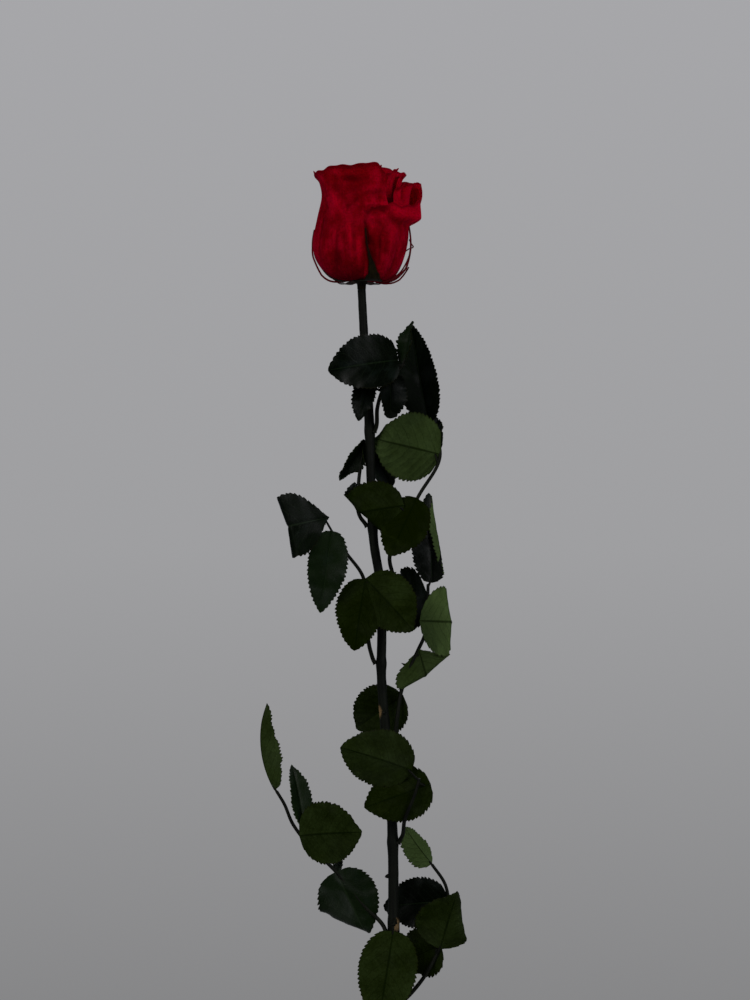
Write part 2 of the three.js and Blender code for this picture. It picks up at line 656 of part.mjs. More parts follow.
function sepalPoint(sepal, u, v, through) {
  const share = sepal.climb * u;
  const section = petalSection.getPoint(share);
  const tangent = petalSection.getTangent(share);
  const off = SEPAL_CLEARANCE + sepal.stand * u ** 3 + through;
  const radius = section.x + tangent.y * off;
  const rise = section.y - tangent.x * off;
  const half = (sepal.width / 2) * Math.max((1 - u) ** 0.8, 0.12);
  const angle = radians(sepal.facing);
  return new THREE.Vector3(
    BLOOM_AXIS[0] + radius * Math.cos(angle) - v * half * Math.sin(angle),
    BLOOM_AXIS[1] + radius * Math.sin(angle) + v * half * Math.cos(angle),
    BLOOM_BASE + rise,
  );
}

function calyx() {
  const hip = new THREE.LatheGeometry(
    [[0, -HIP_HEIGHT], [2.2, -HIP_HEIGHT], [3.2, -1.9], [4.3, -0.2], [4.2, 1.2], [3.4, 2.1], [0, 2.1]]
      .map(([r, z]) => new THREE.Vector2(r, z)),
    12,
  );
  hip.rotateX(Math.PI / 2).translate(BLOOM_AXIS[0], BLOOM_AXIS[1], BLOOM_BASE);
  const sepals = SEPALS.map((sepal) => sheet(
    (u, v, through) => sepalPoint(sepal, u, v, through),
    SEPAL_ROWS,
    2,
  ));
  return wasm.Manifold.union([solidOf(hip), ...sepals]);
}

// ---------------------------------------------------------------- the object
const rose = new THREE.Group();
rose.add(meshOf('vase', vase(), glaze));
rose.add(meshOf('stem', stem(), stemBrown));
rose.add(meshOf('calyx', calyx(), sepalGreen));
rose.add(meshOf('bloom', bloom(), petalRed));
LEAVES.forEach((spec) => rose.add(meshOf(spec.name, leaf(spec), leafGreen)));

export default rose;
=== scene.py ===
# %% [markdown]
# # A dried rose in a bud vase
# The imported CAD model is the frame: it says where every piece is. This notebook dresses it,
# piece by piece, in metres and in the same frame.

# %% Load the frame
import math

import bpy
import numpy as np
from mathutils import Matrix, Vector


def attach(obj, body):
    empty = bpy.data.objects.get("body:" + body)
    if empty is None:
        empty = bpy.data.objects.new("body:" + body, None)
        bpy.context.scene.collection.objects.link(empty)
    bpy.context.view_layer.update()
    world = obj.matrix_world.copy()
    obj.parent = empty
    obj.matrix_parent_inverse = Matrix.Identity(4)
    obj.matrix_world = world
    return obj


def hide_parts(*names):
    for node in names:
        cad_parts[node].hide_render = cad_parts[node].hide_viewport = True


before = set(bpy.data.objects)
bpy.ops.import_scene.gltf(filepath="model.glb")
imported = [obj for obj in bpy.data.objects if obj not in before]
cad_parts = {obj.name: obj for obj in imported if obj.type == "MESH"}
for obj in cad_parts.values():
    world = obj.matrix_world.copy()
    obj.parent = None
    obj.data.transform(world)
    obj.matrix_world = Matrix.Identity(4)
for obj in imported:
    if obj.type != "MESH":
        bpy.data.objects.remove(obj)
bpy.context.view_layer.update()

MM = 0.001
print("CAD nodes:", sorted(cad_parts))

# %% [markdown]
# ## Small helpers
# The wall and every material below are built from nodes. `node` adds one and joins or sets its
# inputs. `calc`, `scaled`, `ramp` and `mix` work on outputs, and add to the tree that their first
# one is in. `dress` gives a shader what was worked out. Colours are written as they look on screen.

# %% Node helpers
def rgb(*levels):
    """The colour a screen shows as these numbers from 0 to 255."""
    return tuple((c / 255) ** 2.2 for c in levels) + (1,)


def feed(socket, value):
    """Joins a socket to another node's output, or sets it to a number or a colour."""
    if isinstance(value, bpy.types.NodeSocket):
        socket.id_data.links.new(value, socket)
    else:
        socket.default_value = value


def node(tree, kind, inputs=None, **settings):
    made = tree.nodes.new("ShaderNode" + kind)
    for key, value in settings.items():
        setattr(made, key, value)
    for key, value in (inputs or {}).items():
        feed(made.inputs[key], value)
    return made


def calc(operation, first, *others):
    """Arithmetic on an output and other outputs or numbers."""
    return node(first.id_data, "Math", dict(enumerate((first, *others))), operation=operation).outputs[0]


def scaled(value, share, added=0.0):
    return calc("MULTIPLY_ADD", value, share, added)


def ramp(value, low, high, to_low=0.0, to_high=1.0):
    """value from low to high becomes a number from to_low to to_high, smoothly and no further."""
    limits = {"Value": value, "From Min": low, "From Max": high, "To Min": to_low, "To Max": to_high}
    return node(value.id_data, "MapRange", limits, interpolation_type="SMOOTHSTEP").outputs["Result"]


def mix(factor, first, second):
    """The first colour, or the second where the factor is 1."""
    return node(factor.id_data, "Mix", {0: factor, 6: first, 7: second}, data_type="RGBA").outputs[2]


def noise(place, scale, detail=4.0, roughness=0.55, distortion=0.0):
    return node(place.id_data, "TexNoise", {"Vector": place, "Scale": scale, "Detail": detail,
                                            "Roughness": roughness, "Distortion": distortion}).outputs["Fac"]


def stretched(place, scale):
    return node(place.id_data, "Mapping", {"Vector": place, "Scale": scale}).outputs[0]


def object_place(tree):
    return node(tree, "TexCoord").outputs["Object"]


def own_uv(tree):
    return node(tree, "UVMap", uv_map="UVMap").outputs[0]


def painted(tree, name):
    """A number that `paint` put on the points of the piece."""
    return node(tree, "Attribute", attribute_name=name).outputs["Fac"]


def new_material(name):
    material = bpy.data.materials.new(name)
    material.use_nodes = True
    return material, material.node_tree, material.node_tree.nodes["Principled BSDF"]


def dress(shader, colour, roughness, gloss, height, strength, distance, others=None):
    """Gives a shader its colour, roughness and gloss, a bump from a height, and any other inputs."""
    bump = node(shader.id_data, "Bump", {"Height": height, "Strength": strength, "Distance": distance})
    inputs = {"Base Color": colour, "Roughness": roughness, "Specular IOR Level": gloss}
    for name, value in {**inputs, "Normal": bump.outputs[0], **(others or {})}.items():
        feed(shader.inputs[name], value)


print("helpers ready")

# %% [markdown]
# ## The camera
# The photograph was taken level, from far enough away that the stem shows no perspective. A long
# lens does the same. The frame cuts the rose off above the vase, as the photograph does.

# %% Camera
camera_data = bpy.data.cameras.new("camera")
camera_data.lens = 108
camera_data.sensor_width = 36
camera = bpy.data.objects.new("camera", camera_data)
camera.location = (-0.0135, -1.5, 0.45)
camera.rotation_euler = (math.radians(90), 0, 0)
bpy.context.scene.collection.objects.link(camera)
bpy.context.scene.camera = camera
print("camera at", tuple(camera.location))

# %% [markdown]
# ## The studio
# A plain wall, a little darker towards the floor, soft light and a pale floor. The wall is the
# world's colour by direction. What lights the rose is dimmer than the wall looks, which keeps the
# leaves as deep as they are against a bright wall.

# %% Wall
world = bpy.data.worlds.new("studio")
bpy.context.scene.world = world
world.use_nodes = True
tree = world.node_tree
direction = node(tree, "TexCoord").outputs["Generated"]
upwards = node(tree, "SeparateXYZ", {0: direction}).outputs["Z"]
rise = node(tree, "MapRange", {"Value": upwards, "From Min": -0.17, "From Max": 0.17}).outputs["Result"]
shades = node(tree, "ValToRGB", {"Fac": rise})
shades.color_ramp.elements[0].color = (0.235, 0.235, 0.240, 1)
shades.color_ramp.elements[1].color = (0.385, 0.385, 0.400, 1)
shades.color_ramp.elements.new(0.45).color = (0.345, 0.345, 0.355, 1)
wall = tree.nodes["Background"]
feed(wall.inputs["Color"], shades.outputs["Color"])
fill = node(tree, "Background", {"Color": (0.80, 0.86, 1.0, 1), "Strength": 0.16})
seen = node(tree, "LightPath").outputs["Is Camera Ray"]
studio = node(tree, "MixShader", {0: seen, 1: fill.outputs[0], 2: wall.outputs[0]})
feed(tree.nodes["World Output"].inputs["Surface"], studio.outputs[0])
bpy.context.scene.view_settings.view_transform = "Standard"
print("wall and fill made")

# %% Lights
def soft_light(name, place, size, power, colour, target=(-0.01, 0, 0.42)):
    light = bpy.data.lights.new(name, "AREA")
    light.shape = "DISK"
    light.size = size
    light.energy = power
    light.color = colour
    lamp = bpy.data.objects.new(name, light)
    lamp.location = place
    aim = Vector(target) - lamp.location
    lamp.rotation_euler = aim.to_track_quat("-Z", "Y").to_euler()
    bpy.context.scene.collection.objects.link(lamp)


soft_light("key", (-1.1, -1.6, 1.6), 1.3, 22, (1.0, 0.98, 0.95))
soft_light("side", (1.3, -1.4, 1.2), 1.3, 15, (0.97, 0.98, 1.0))
soft_light("rim", (0.4, 1.4, 1.6), 1.0, 12, (0.93, 0.96, 1.0))

# %% [markdown]
# ## Leaf tissue
# A rose leaflet has a midrib, seven or so pairs of side veins that curve forward to the margin,
# and a fine net between them. The upper side is dark and waxy. The underside is olive, matt and
# paler, with its veins raised. Both come from one recipe: the UV map runs along the leaflet in u
# and from margin to margin in v, so the veins are lines in it. How pale each side is will be
# painted on the leaflet, as `tone` for the upper side and `back` for the underside.

# %% Leaf materials
VEIN_PAIRS = 8.0
VEIN_SWEEP = 2.6
DRY_EDGE = rgb(26, 22, 12)


def leaf_material(name, tone_name, deep, light, vein, vein_strength, rough, gloss, relief, dust, dust_share):
    material, tree, shader = new_material(name)
    place = object_place(tree)
    uv = node(tree, "SeparateXYZ", {0: own_uv(tree)})
    side = calc("ABSOLUTE", scaled(uv.outputs["Y"], 2.0, -1.0))
    wobble = scaled(noise(place, 260, 3), 0.5, -0.25)
    swept = scaled(calc("POWER", side, 1.25), VEIN_SWEEP)
    count = calc("SUBTRACT", scaled(uv.outputs["X"], VEIN_PAIRS, wobble), swept)
    from_vein = calc("ABSOLUTE", calc("SUBTRACT", calc("FRACT", count), 0.5))
    side_vein = scaled(ramp(from_vein, 0.035, 0.0), ramp(side, 1.0, 0.6))
    midrib = ramp(side, 0.05, 0.012)
    cells = node(tree, "TexVoronoi", {"Vector": place, "Scale": 900.0}, feature="DISTANCE_TO_EDGE")
    net = scaled(ramp(cells.outputs["Distance"], 0.09, 0.0), 0.28)
    veins = calc("MAXIMUM", calc("MAXIMUM", side_vein, midrib), net)

    patches = noise(place, 60, 5, 0.6)
    fine = noise(place, 700, 4, 0.6)
    shade = scaled(patches, 0.6, scaled(fine, 0.3, calc("ADD", painted(tree, tone_name), -0.45)))
    colour = mix(ramp(shade, -0.2, 1.2), deep, light)
    colour = mix(scaled(veins, vein_strength), colour, vein)
    dusty = ramp(noise(place, 95, 4, 0.5, 0.6), 0.52, 0.78, 0.0, dust_share)
    colour = mix(dusty, colour, dust)
    colour = mix(ramp(side, 0.93, 1.0, 0.0, 0.5), colour, DRY_EDGE)

    roughness = scaled(veins, 0.1, scaled(patches, 0.25, rough - 0.12))
    waxed = ramp(noise(place, 48, 3, 0.5, 0.8), 0.45, 0.7, *gloss)
    height = scaled(veins, relief, scaled(from_vein, -1.2 * relief, scaled(fine, 0.25)))
    dress(shader, colour, roughness, waxed, height, 0.5, 0.0003)
    return material


leaf_upper = leaf_material(
    "leaf_upper", "tone", deep=rgb(8, 13, 7), light=rgb(26, 37, 20), vein=rgb(38, 50, 32),
    vein_strength=0.3, rough=0.42, gloss=(0.02, 0.16), relief=-0.5, dust=rgb(44, 52, 50), dust_share=0.15)
leaf_under = leaf_material(
    "leaf_under", "back", deep=rgb(22, 28, 6), light=rgb(80, 98, 58), vein=rgb(17, 24, 6),
    vein_strength=0.75, rough=0.7, gloss=(0.0, 0.05), relief=1.2, dust=rgb(46, 56, 26), dust_share=0.2)
print("materials:", leaf_upper.name, leaf_under.name)

# %% [markdown]
# ## Bark
# The stem's bark is almost black, with a long grain, and is worn to pale wood at its scars, which
# are painted on it as `scar`. The leaves' stalks have a greener and smoother one.

# %% Stalk and stem materials
def bark_material(name, deep, light, scar_colour, stretch):
    material, tree, shader = new_material(name)
    place = object_place(tree)
    long_grain = stretched(place, stretch)
    grain = noise(long_grain, 900, 5, 0.6)
    patches = noise(place, 45, 4, 0.55)
    fine = noise(place, 1500, 3)
    mixed = scaled(grain, 0.6, scaled(patches, 0.5))
    colour = mix(ramp(mixed, 0.35, 0.8), deep, light)
    pale = ramp(noise(long_grain, 420, 3, 0.5, 0.4), 0.6, 0.74, 0, 0.25)
    colour = mix(pale, colour, rgb(44, 46, 38))
    scar = calc("SUBTRACT", painted(tree, "scar"), 0.25)
    worn = ramp(scaled(fine, 0.5, scar), 0.25, 0.7)
    colour = mix(worn, colour, scar_colour)
    roughness = scaled(grain, 0.3, 0.42)
    height = scaled(fine, 0.06, grain)
    dress(shader, colour, roughness, 0.09, height, 0.6, 0.00025)
    return material


stem_skin = bark_material(
    "stem_skin", rgb(7, 9, 6), rgb(22, 25, 18), scar_colour=rgb(120, 98, 68), stretch=(1.0, 1.0, 0.07))
stalk_skin = bark_material(
    "stalk_skin", rgb(9, 11, 7), rgb(22, 24, 14), scar_colour=rgb(90, 72, 50), stretch=(0.3, 0.3, 0.3))
print("materials:", stem_skin.name, stalk_skin.name)

# %% [markdown]
# ## Petal velvet
# A red rose's petal is velvet: deep where it faces you, lighter where it turns away, which is
# what sheen does. Fine veins fan from the foot to the lip, and drying has creased the tissue and
# darkened the lip. Shade is painted darker into the hollows of the folds, wrinkles and creases and
# towards the foot. Light is painted onto the creases' ridges and inside the folded-out corner.

# %% Petal material
def petal_material():
    material, tree, shader = new_material("petal_velvet")
    place, uv = object_place(tree), own_uv(tree)
    along = node(tree, "SeparateXYZ", {0: uv}).outputs["X"]
    streaks = noise(stretched(uv, (1.6, 46.0, 1.0)), 1.0, 5, 0.6, 0.5)
    folds = noise(stretched(uv, (4.0, 6.0, 1.0)), 1.0, 3, 0.45, 1.2)
    patches = noise(place, 110, 5, 0.6)
    wrinkles = noise(place, 420, 4, 0.6, 1.5)
    crease_light_and_shade = painted(tree, "crease_light_and_shade")
    mixed = scaled(streaks, 0.2, scaled(patches, 0.8))
    colour = mix(ramp(mixed, 0.38, 0.64), rgb(110, 5, 18), rgb(154, 10, 34))
    lip = scaled(streaks, 0.03, along)
    # Each layer tints the colour as its value goes from the first number to the second, by at most
    # the third: painted shade in the folds' hollows, a painted highlight on the creases' ridges and
    # inside the folded-out corner, painted shade in the creases' valleys and the wrinkles' hollows,
    # the lip's own darker dried colour, and painted shade towards the foot.
    layers = [
        (folds, 0.6, 0.42, 0.35, rgb(90, 0, 12)),
        (crease_light_and_shade, 0.1, 1.9, 0.95, rgb(176, 3, 35)),
        (crease_light_and_shade, -0.2, -1.1, 0.65, rgb(58, 0, 8)),
        (wrinkles, 0.52, 0.38, 0.38, rgb(84, 0, 12)),
        (lip, 0.965, 1.01, 0.75, rgb(84, 1, 18)),
        (along, 0.46, 0.16, 0.75, rgb(54, 2, 9)),
    ]
    for value, none, full, most, tint in layers:
        colour = mix(ramp(value, none, full, 0, most), colour, tint)
    roughness = scaled(patches, 0.2, 0.55)
    height = scaled(streaks, 0.35, scaled(folds, 2.6, scaled(wrinkles, 1.2)))
    dress(shader, colour, roughness, 0.0, height, 0.75, 0.0007, {
        "Sheen Weight": 0.12, "Sheen Roughness": 0.4, "Sheen Tint": (1.0, 0.02, 0.14, 1),
        "Subsurface Weight": 0.3, "Subsurface Scale": 0.003, "Subsurface Radius": (1.0, 0.05, 0.12),
    })
    return material


petal_velvet = petal_material()
print("material:", petal_velvet.name)

# %% [markdown]
# ## Sepal tissue
# The sepals are a dull, dark olive with lines along them, browner towards their tips. Some of
# their dried strands took on the petals' red, which is painted on them as `red`.

# %% Sepal material
def sepal_material():
    material, tree, shader = new_material("sepal_skin")
    place, uv = object_place(tree), own_uv(tree)
    along = node(tree, "SeparateXYZ", {0: uv}).outputs["X"]
    lines = noise(stretched(uv, (2.0, 22.0, 1.0)), 1.0, 4)
    patches = noise(place, 240, 4)
    mixed = scaled(lines, 0.6, scaled(patches, 0.4))
    colour = mix(ramp(mixed, 0.35, 0.68), rgb(14, 12, 3), rgb(38, 32, 12))
    colour = mix(ramp(along, 0.5, 1.0, 0, 0.6), colour, rgb(40, 10, 8))
    colour = mix(painted(tree, "red"), colour, rgb(92, 6, 22))
    roughness = scaled(patches, 0.3, 0.5)
    height = scaled(patches, 0.6, lines)
    dress(shader, colour, roughness, 0.06, height, 0.7, 0.0004)
    return material


sepal_skin = sepal_material()
print("material:", sepal_skin.name)

# %% [markdown]
# ## Curves that the pieces follow
# The solids were laid along smooth curves through a few points. The same curves here put every
# finer piece exactly where its solid is. `curve_point` gives a place on a Catmull-Rom curve whose
# knots are spaced by distance to a power: 0 for even, 0.5 and 1 for curves that never overshoot.

# %% Curves
def curve_point(points, share, power):
    """The place at a share from 0 to 1 of the way through the points, which may be 2-D or 3-D."""
    points = np.asarray(points, float)
    spans = len(points) - 1
    at = min(max(share, 0.0), 1.0) * spans
    i = min(int(at), spans - 1)
    t = at - i
    p1, p2 = points[i], points[i + 1]
    if power:
        p0 = points[i - 1] if i > 0 else 2 * points[0] - points[1]
        p3 = points[i + 2] if i + 2 <= spans else 2 * points[-1] - points[-2]
        d0, d1, d2 = (np.linalg.norm(b - a) ** power for a, b in ((p0, p1), (p1, p2), (p2, p3)))
        m1 = ((p1 - p0) / d0 - (p2 - p0) / (d0 + d1) + (p2 - p1) / d1) * d1
        m2 = ((p2 - p1) / d1 - (p3 - p1) / (d1 + d2) + (p3 - p2) / d2) * d1
    else:
        m1 = (p2 - points[max(i - 1, 0)]) / 2
        m2 = (points[min(i + 2, spans)] - p1) / 2
    return p1 + m1 * t + (3 * (p2 - p1) - 2 * m1 - m2) * t**2 + (2 * (p1 - p2) + m1 + m2) * t**3


def smooth(x):
    """0 up to x = 0 and 1 from x = 1, with an easy start and end."""
    x = np.clip(x, 0.0, 1.0)
    return x * x * (3 - 2 * x)


BLOOM_AXIS = np.array([-20.2, 0.6])
BLOOM_BASE = 558.5
HIP_HEIGHT = 2.8
GAP = 0.3
STEM_FOOT = 8.3
STEM_TOP = BLOOM_BASE - HIP_HEIGHT - GAP
STEM_STEPS = 640
NODE_SWELLING = 0.16
NODE_REACH = 3
# The stem's curve as (x, y, z, radius).
STEM_LINE = [
    (3.4, -0.4, STEM_FOOT, 3.0), (0.6, 0, 75, 3.0), (-3.0, 0, 150, 2.95), (-4.5, 0, 185, 2.9),
    (-4.3, 0, 200, 2.8), (-4.25, 0, 240, 2.65), (-4.5, 0, 274.5, 2.6), (-5.75, 0, 305, 2.55),
    (-8.5, 0, 338, 2.5), (-10.3, 0, 362.5, 2.35), (-10.1, 0, 384, 2.35),
    (-10.7, 0, 407, 2.3), (-14.2, 0.2, 430, 2.3),
    (-15.5, 0.4, 459.5, 2.25), (-16.3, 0.5, 488, 2.45), (-19.0, 0.6, 532.5, 2.15),
    (BLOOM_AXIS[0], BLOOM_AXIS[1], STEM_TOP, 2.05),
]
NODE_HEIGHTS = [484, 436.5, 397.5, 368, 331, 278.5, 239, 233, 197]
# Thorns as (height, direction in degrees, length), and worn scars as (x, height, size, strength).
THORNS = [
    (344, -92, 1.1), (447, 150, 1.6), (313, 20, 1.5), (262, 175, 1.7),
    (220, 15, 1.6), (229, -80, 1.2), (505, 200, 1.3), (176, 100, 1.5),
]
SCARS = [(-12.2, 344, 3.6, 1.0), (-2.8, 236.5, 2.6, 0.6), (-3.0, 240, 2.0, 0.5)]
SCAR_WIDTH = 2.2
stem_points = [row[:3] for row in STEM_LINE]
stem_line = np.array([curve_point(stem_points, k / STEM_STEPS, 0.5) for k in range(STEM_STEPS + 1)])


def stem_centre(z):
    return np.array([np.interp(z, stem_line[:, 2], stem_line[:, k]) for k in (0, 1, 2)])


def stem_radius(z):
    plain = np.interp(z, [row[2] for row in STEM_LINE], [row[3] for row in STEM_LINE])
    swelling = sum(math.exp(-(((z - node_z) / NODE_REACH) ** 2)) for node_z in NODE_HEIGHTS)
    return plain * (1 + NODE_SWELLING * min(swelling, 1))


def level_direction(degrees):
    return np.array([math.cos(math.radians(degrees)), math.sin(math.radians(degrees)), 0])


print("stem runs from", stem_line[0].round(1), "to", stem_line[-1].round(1))

# %% [markdown]
# ## Sheets and tubes
# Leaflets, petals and sepals are thin sheets, so each starts as a flat grid, is shaped point by
# point by the formula that its solid has too, and gets its thickness from the Solidify modifier.
# Shaping by formula is used because fifty sheets have to lie where the solids lie. Stalks start
# as grids too, rolled up into tubes and closed at both ends.

# %% Sheets and tubes
TISSUE = 0.4
POINTED = 0.02
WELD_DISTANCE = 0.00001
SMOOTH_ANGLE = 55


def select_only(piece):
    bpy.ops.object.select_all(action="DESELECT")
    bpy.context.view_layer.objects.active = piece
    piece.select_set(True)


def grid_piece(name, rows, columns, place, materials, material_index=0):
    """A grid whose points go to place(u, v), in millimetres: u from 0 to 1, v from -1 to 1."""
    bpy.ops.object.select_all(action="DESELECT")
    bpy.ops.mesh.primitive_grid_add(x_subdivisions=rows, y_subdivisions=columns, size=2)
    piece = bpy.context.object
    piece.name = name
    flat = np.zeros(len(piece.data.vertices) * 3)
    piece.data.vertices.foreach_get("co", flat)
    flat = flat.reshape(-1, 3)
    shaped = place((flat[:, 0] + 1) / 2, flat[:, 1])
    piece.data.vertices.foreach_set("co", (shaped * MM).ravel())
    for material in materials:
        piece.data.materials.append(material)
    piece.data.polygons.foreach_set("material_index", [material_index] * len(piece.data.polygons))
    piece.data.update()
    return piece


def paint(piece, name, values):
    """Paints a number on every point of a piece, for its material to read."""
    layer = piece.data.attributes.new(name, "FLOAT", "POINT")
    numbers = np.broadcast_to(values, len(piece.data.vertices)).astype(float)
    layer.data.foreach_set("value", numbers.ravel())


def points_of(piece):
    """Where a piece's points are, in millimetres."""
    return np.array([v.co[:] for v in piece.data.vertices]) / MM


def apply_modifier(piece, kind, **settings):
    select_only(piece)
    modifier = piece.modifiers.new(kind.lower(), kind)
    for key, value in settings.items():
        setattr(modifier, key, value)
    bpy.ops.object.modifier_apply(modifier=modifier.name)


def weld(piece):
    """Joins points that lie together and turns every face outwards."""
    select_only(piece)
    bpy.ops.object.mode_set(mode="EDIT")
    bpy.ops.mesh.select_all(action="SELECT")
    bpy.ops.mesh.remove_doubles(threshold=WELD_DISTANCE)
    bpy.ops.mesh.normals_make_consistent(inside=False)
    bpy.ops.object.mode_set(mode="OBJECT")


def tube(name, centres, radii, sides, materials, material_index=0):
    """A closed tube along points, in millimetres; where a radius is 0 it comes to a point."""
    centres = np.asarray(centres, float)
    radii = np.asarray(radii, float)
    tangents = np.gradient(centres, axis=0)
    tangents /= np.linalg.norm(tangents, axis=1)[:, None]
    first = np.cross(tangents[0], [0.31, 0.95, 0.05])
    normals = [first / np.linalg.norm(first)]
    for tangent in tangents[1:]:
        carried = normals[-1] - tangent * np.dot(normals[-1], tangent)
        normals.append(carried / np.linalg.norm(carried))
    normals = np.array(normals)
    others = np.cross(tangents, normals)
    rows = len(centres) - 1

    def place(u, v):
        i = np.rint(u * rows).astype(int)
        angle = (v + 1) * math.pi
        outwards = np.cos(angle)[:, None] * normals[i] + np.sin(angle)[:, None] * others[i]
        return centres[i] + radii[i, None] * outwards

    piece = grid_piece(name, rows, sides, place, materials, material_index)
    weld(piece)
    return piece


def joined(name, pieces, node_name):
    """Makes one piece of several and ties it to the frame."""
    bpy.ops.object.select_all(action="DESELECT")
    for piece in pieces:
        piece.select_set(True)
    bpy.context.view_layer.objects.active = pieces[0]
    if len(pieces) > 1:
        bpy.ops.object.join()
    whole = bpy.context.object
    whole.name = name
    whole.data.name = name
    bpy.ops.object.transform_apply(location=True, rotation=True, scale=True)
    bpy.ops.object.shade_smooth_by_angle(angle=math.radians(SMOOTH_ANGLE))
    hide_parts(node_name)
    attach(whole, "root")
    print(name, len(whole.data.polygons), "faces")
    return whole


# %% [markdown]
# ## The stem
# The stem is a woody cane, a little thicker at every node, with broken thorns and a worn scar or
# two. It is one tube with a swelling at each node, and each thorn is a short tube sunk into it.

# %% Stem
def make_thorn(height, direction, length):
    """A short tube sunk into the stem, bent down and tapered to a blunt tip."""
    out, radius = level_direction(direction), stem_radius(height)
    reach = np.linspace(0, 1, 9)
    sideways = radius * 0.5 + (radius * 0.5 + length) * reach
    line = stem_centre(height) + sideways[:, None] * out
    line[:, 2] -= length * 0.35 * reach**2
    widths = 1.5 * (1 - reach) ** 0.8 + 0.3
    widths[[0, -1]] = POINTED
    return tube("thorn", line, widths, 10, [stem_skin])


def make_stem():
    middle = np.linspace(STEM_FOOT + POINTED, STEM_TOP - POINTED, 420)
    heights = np.concatenate([[STEM_FOOT], middle, [STEM_TOP]])
    centres = np.array([stem_centre(z) for z in heights])
    knobs = 1 + 0.02 * np.sin(heights * 0.9) * np.sin(heights * 0.23 + 1)
    radii = np.array([stem_radius(z) for z in heights]) * knobs
    radii[[0, -1]] = POINTED
    radii[[1, -2]] = radii[[2, -3]]
    parts = [tube("shaft", centres, radii, 20, [stem_skin])]
    parts += [make_thorn(*thorn) for thorn in THORNS]
    for part in parts:
        x, y, z = points_of(part).T
        scar = np.zeros(len(x))
        for at_x, at_z, size, strength in SCARS:
            near = np.exp(-(((x - at_x) / SCAR_WIDTH) ** 2 + ((z - at_z) / size) ** 2))
            scar += strength * near * (y < 0.8)
        paint(part, "scar", np.clip(scar, 0, 1))
    return joined("stem_wood", parts, "stem")


stem = make_stem()

# %% [markdown]
# ## The leaves
# Each leaf is a stalk with up to five toothed leaflets. Some show their dark upper side and some
# their olive underside, and several are curled over. A flat blade is folded along its midrib,
# rippled, curled where the table says, and arched.
#
# The table is in millimetres and degrees. A leaf grows from the stem at the height and in the
# direction of `node`, and its stalk goes through the points of `stalk`. A leaflet runs from its
# base to its tip with its upper side towards `face`, or its underside where it is `turned`. The rest
# is named where a leaflet isn't ordinary: its `length` where it is curled, its `fold` along the
# midrib, its `arch` from end to end, the `phase` of its ripple, the height of its `ribs`, and
# `taper`, which narrows its ends. `tone` and `back` are how pale its sides are. A `curl` starts at a
# share of the length, on a line turned so many degrees from straight across, and goes through an
# angle at a radius.

# %% Leaf table
def leaflet(base, tip, width, face, **others):
    return dict(base=base, tip=tip, width=width, face=face, **others)


